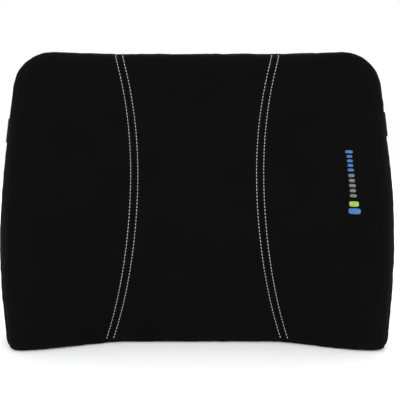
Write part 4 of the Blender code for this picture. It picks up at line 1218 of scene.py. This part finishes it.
def tail_frame(inside, bar_x):
    """Two rails and the bar that the webbing loops round."""
    reach = bar_x + math.copysign(BAR_R + 0.25, bar_x)
    low, high = sorted((inside, reach))
    plans = [box_plan(low, high, *sorted((k * RAIL_IN, k * RAIL_OUT))) for k in (-1, 1)]
    return [strap_slab(plan, -2.5, 2.5, 0.7, 1.1) for plan in plans] + [cross_bar(bar_x, BAR_R)]


shell_plan = both([
    (BODY_END, 14.2), (-19.0, 15.9), (-11.0, 15.9), (-9.9, 13.4), (-8.2, 12.3), (-2.6, 12.3), (-0.9, 13.4),
    (-0.2, 15.2), (1.2, 15.2), (MOUTH, 13.6),
])
window_plan = both([(-15.5, -2.0), (-12.5, -3.6), (-4.5, -3.6), (-2.0, -1.8)])
parts = [strap_slab(shell_plan, *y, 0.9, 1.2) for y in ((2.3, BUCKLE_HALF_T), (-BUCKLE_HALF_T, -2.3))]
parts += [strap_slab(both([(BODY_END + 0.3, 13.8), (-18.6, 15.4), (-16.2, 15.4)]), -3.6, 3.6, 0.6, 0.8)]
for k in (-1, 1):
    parts.append(strap_slab(box_plan(-18.0, -10.4, *sorted((k * 12.6, k * 15.7))), -3.2, 3.2, 0.5, 0.9))
    parts.append(strap_slab(box_plan(-0.5, 1.7, *sorted((k * 12.6, k * 15.0))), -3.2, 3.2, 0.4, 0.6))
ridge = rounded(window_plan, 1.5)
hollow = rounded([(x * 0.88 - 1.05, z * 0.72) for x, z in window_plan], 1.2)
parts.append(strap_slab(ridge, BUCKLE_HALF_T - 0.4, BUCKLE_HALF_T + 0.35, 0.25, hole=hollow))
parts += tail_frame(-20.0, BAR_LEFT)
solid("strap_buckle_socket", parts, PLASTIC, "strap_buckle", "black_acetal", "buckle_female")

base_plan = both([(2.5, 14.0), (3.4, 15.6), (6.4, 15.9), (8.6, 15.2), (9.0, 12.6)])
parts = [strap_slab(base_plan, -BUCKLE_HALF_T, BUCKLE_HALF_T, 1.3, 1.0)]
tongue = both([(-12.0, 1.9), (-10.8, 2.9), (-2.0, 2.9), (4.0, 2.9)])
parts.append(strap_slab(tongue, -2.0, 2.0, 0.5, 0.6))
for x in (4.3, 5.8, 7.3):
    rib = rounded(box_plan(x - 0.35, x + 0.35, -9.0, 9.0), 0.3)
    for y in ((BUCKLE_HALF_T - 0.3, BUCKLE_HALF_T + 0.3), (-BUCKLE_HALF_T - 0.3, -BUCKLE_HALF_T + 0.3)):
        parts.append(strap_slab(rib, *y, 0.2))
parts += tail_frame(8.0, BAR_RIGHT)
solid("strap_buckle_plug", parts, PLASTIC, "strap_buckle", "black_acetal", "buckle_male")

ARM = [
    (1.9, 8.1), (-4.0, 7.9), (-9.0, 8.1), (-9.6, 9.3), (-9.3, 12.2), (-7.9, 14.8), (-6.4, 15.7), (-4.0, 15.7),
    (-3.1, 14.0), (-2.4, 11.6), (-0.6, 10.4), (1.9, 10.4),
]
for name, side in (("upper", 1), ("lower", -1)):
    plan = rounded([(x, side * z) for x, z in ARM], 0.9)
    parts = [strap_slab(plan, -2.0, 2.0, 0.45)]
    for x, z in ((-8.6, 13.2), (-7.7, 14.7), (-6.2, 15.55), (-4.6, 15.6)):
        y = np.linspace(-1.5, 1.5, 9)
        parts.append(tube(stack(x, STRAP_Y + y, STRAP_Z + side * z), 0.36, 8))
    solid("strap_buckle_latch_" + name, parts, PLASTIC, "latch_" + name, "black_acetal", "buckle_arm_" + name)

GLIDE_X, GLIDE_HALF, GLIDE_LOW = 40.0, 13.0, -5.7
rim_plan = rounded(box_plan(GLIDE_X - GLIDE_HALF, GLIDE_X + GLIDE_HALF, -RAIL_OUT, RAIL_OUT), 3.0, 6)
slot_plan = rounded(box_plan(GLIDE_X - 10.4, GLIDE_X + 10.4, -RAIL_IN, RAIL_IN), 1.2, 6)
parts = [strap_slab(rim_plan, GLIDE_LOW, GLIDE_LOW + 1.9, 0.6, hole=slot_plan)]
for k in (-1, 1):
    wall = sorted((k * (RAIL_IN + 0.1), k * (RAIL_OUT - 0.05)))
    plan = box_plan(GLIDE_X - 11.0, GLIDE_X + 11.0, *wall)
    parts.append(strap_slab(plan, GLIDE_LOW + 0.2, 1.45, 0.7, 1.0))
parts.append(cross_bar(GLIDE_X, 1.38))
for z in np.linspace(-11.0, 11.0, 12):
    turn = np.linspace(0, math.tau, 15)
    ring = stack(GLIDE_X + 1.4 * np.cos(turn), STRAP_Y + 1.4 * np.sin(turn), STRAP_Z + z)
    parts.append(tube(ring, 0.16, 6))
solid("strap_adjuster_slide", parts, PLASTIC, "strap_adjuster", "black_acetal", "tri_glide")

# ---------------------------------------------------------------- floor, light and camera
FLOOR, PALE = 40.0, (0.98, 0.98, 0.98)
floor_material, floor_tree, floor_shader = new_material("pale_floor", PALE, 0.8, Specular_IOR_Level=0.1)
tint(floor_tree, floor_shader, PALE, object_noise(floor_tree, 3.0), 0.99, 1.01)
floor_mesh = bpy.data.meshes.new("floor")
corners = [(x * FLOOR, y * FLOOR, 0) for x, y in ((-1, -1), (1, -1), (1, 1), (-1, 1))]
floor_mesh.from_pydata(corners, [], [(0, 1, 2, 3)])
floor_mesh.materials.append(floor_material)
floor = bpy.data.objects.new("floor", floor_mesh)
bpy.context.scene.collection.objects.link(floor)
floor.location.z = -0.0004
floor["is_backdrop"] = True

world = bpy.data.worlds.new("studio")
bpy.context.scene.world = world
world.use_nodes = True
world.node_tree.nodes["Background"].inputs["Color"].default_value = (1.0, 1.0, 1.0, 1.0)
world.node_tree.nodes["Background"].inputs["Strength"].default_value = 1.0


def soft_light(name, place, size, power):
    lamp = bpy.data.lights.new(name, "AREA")
    lamp.shape, lamp.size, lamp.energy = "DISK", size, power
    made = bpy.data.objects.new(name, lamp)
    bpy.context.scene.collection.objects.link(made)
    made.location = place
    made.rotation_euler = (Vector((0.0, 0.0, 0.15)) - Vector(place)).to_track_quat("-Z", "Y").to_euler()
    return made


soft_light("key_light", (-1.1, -1.5, 1.4), 1.2, 12.0)
soft_light("low_light", (0.5, -2.0, 0.75), 1.4, 34.0)
soft_light("rear_light", (0.6, 1.7, 1.5), 1.4, 16.0)

scene = bpy.context.scene
scene.view_settings.view_transform = "Standard"
camera_data = bpy.data.cameras.new("photo_camera")
camera = bpy.data.objects.new("photo_camera", camera_data)
scene.collection.objects.link(camera)
CAMERA_AT, CAMERA_TILT = (-2.3, -756.9, 237.3), -0.1216  # mm from the back plane, radians
camera.location = metres(CAMERA_AT)
camera.rotation_euler = (QUARTER + CAMERA_TILT, 0.0, 0.0)
camera_data.sensor_width, camera_data.lens = 36.0, 61.4
camera_data.shift_x = 0.0127
camera_data.clip_start = 0.01
scene.camera = camera

low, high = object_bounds()
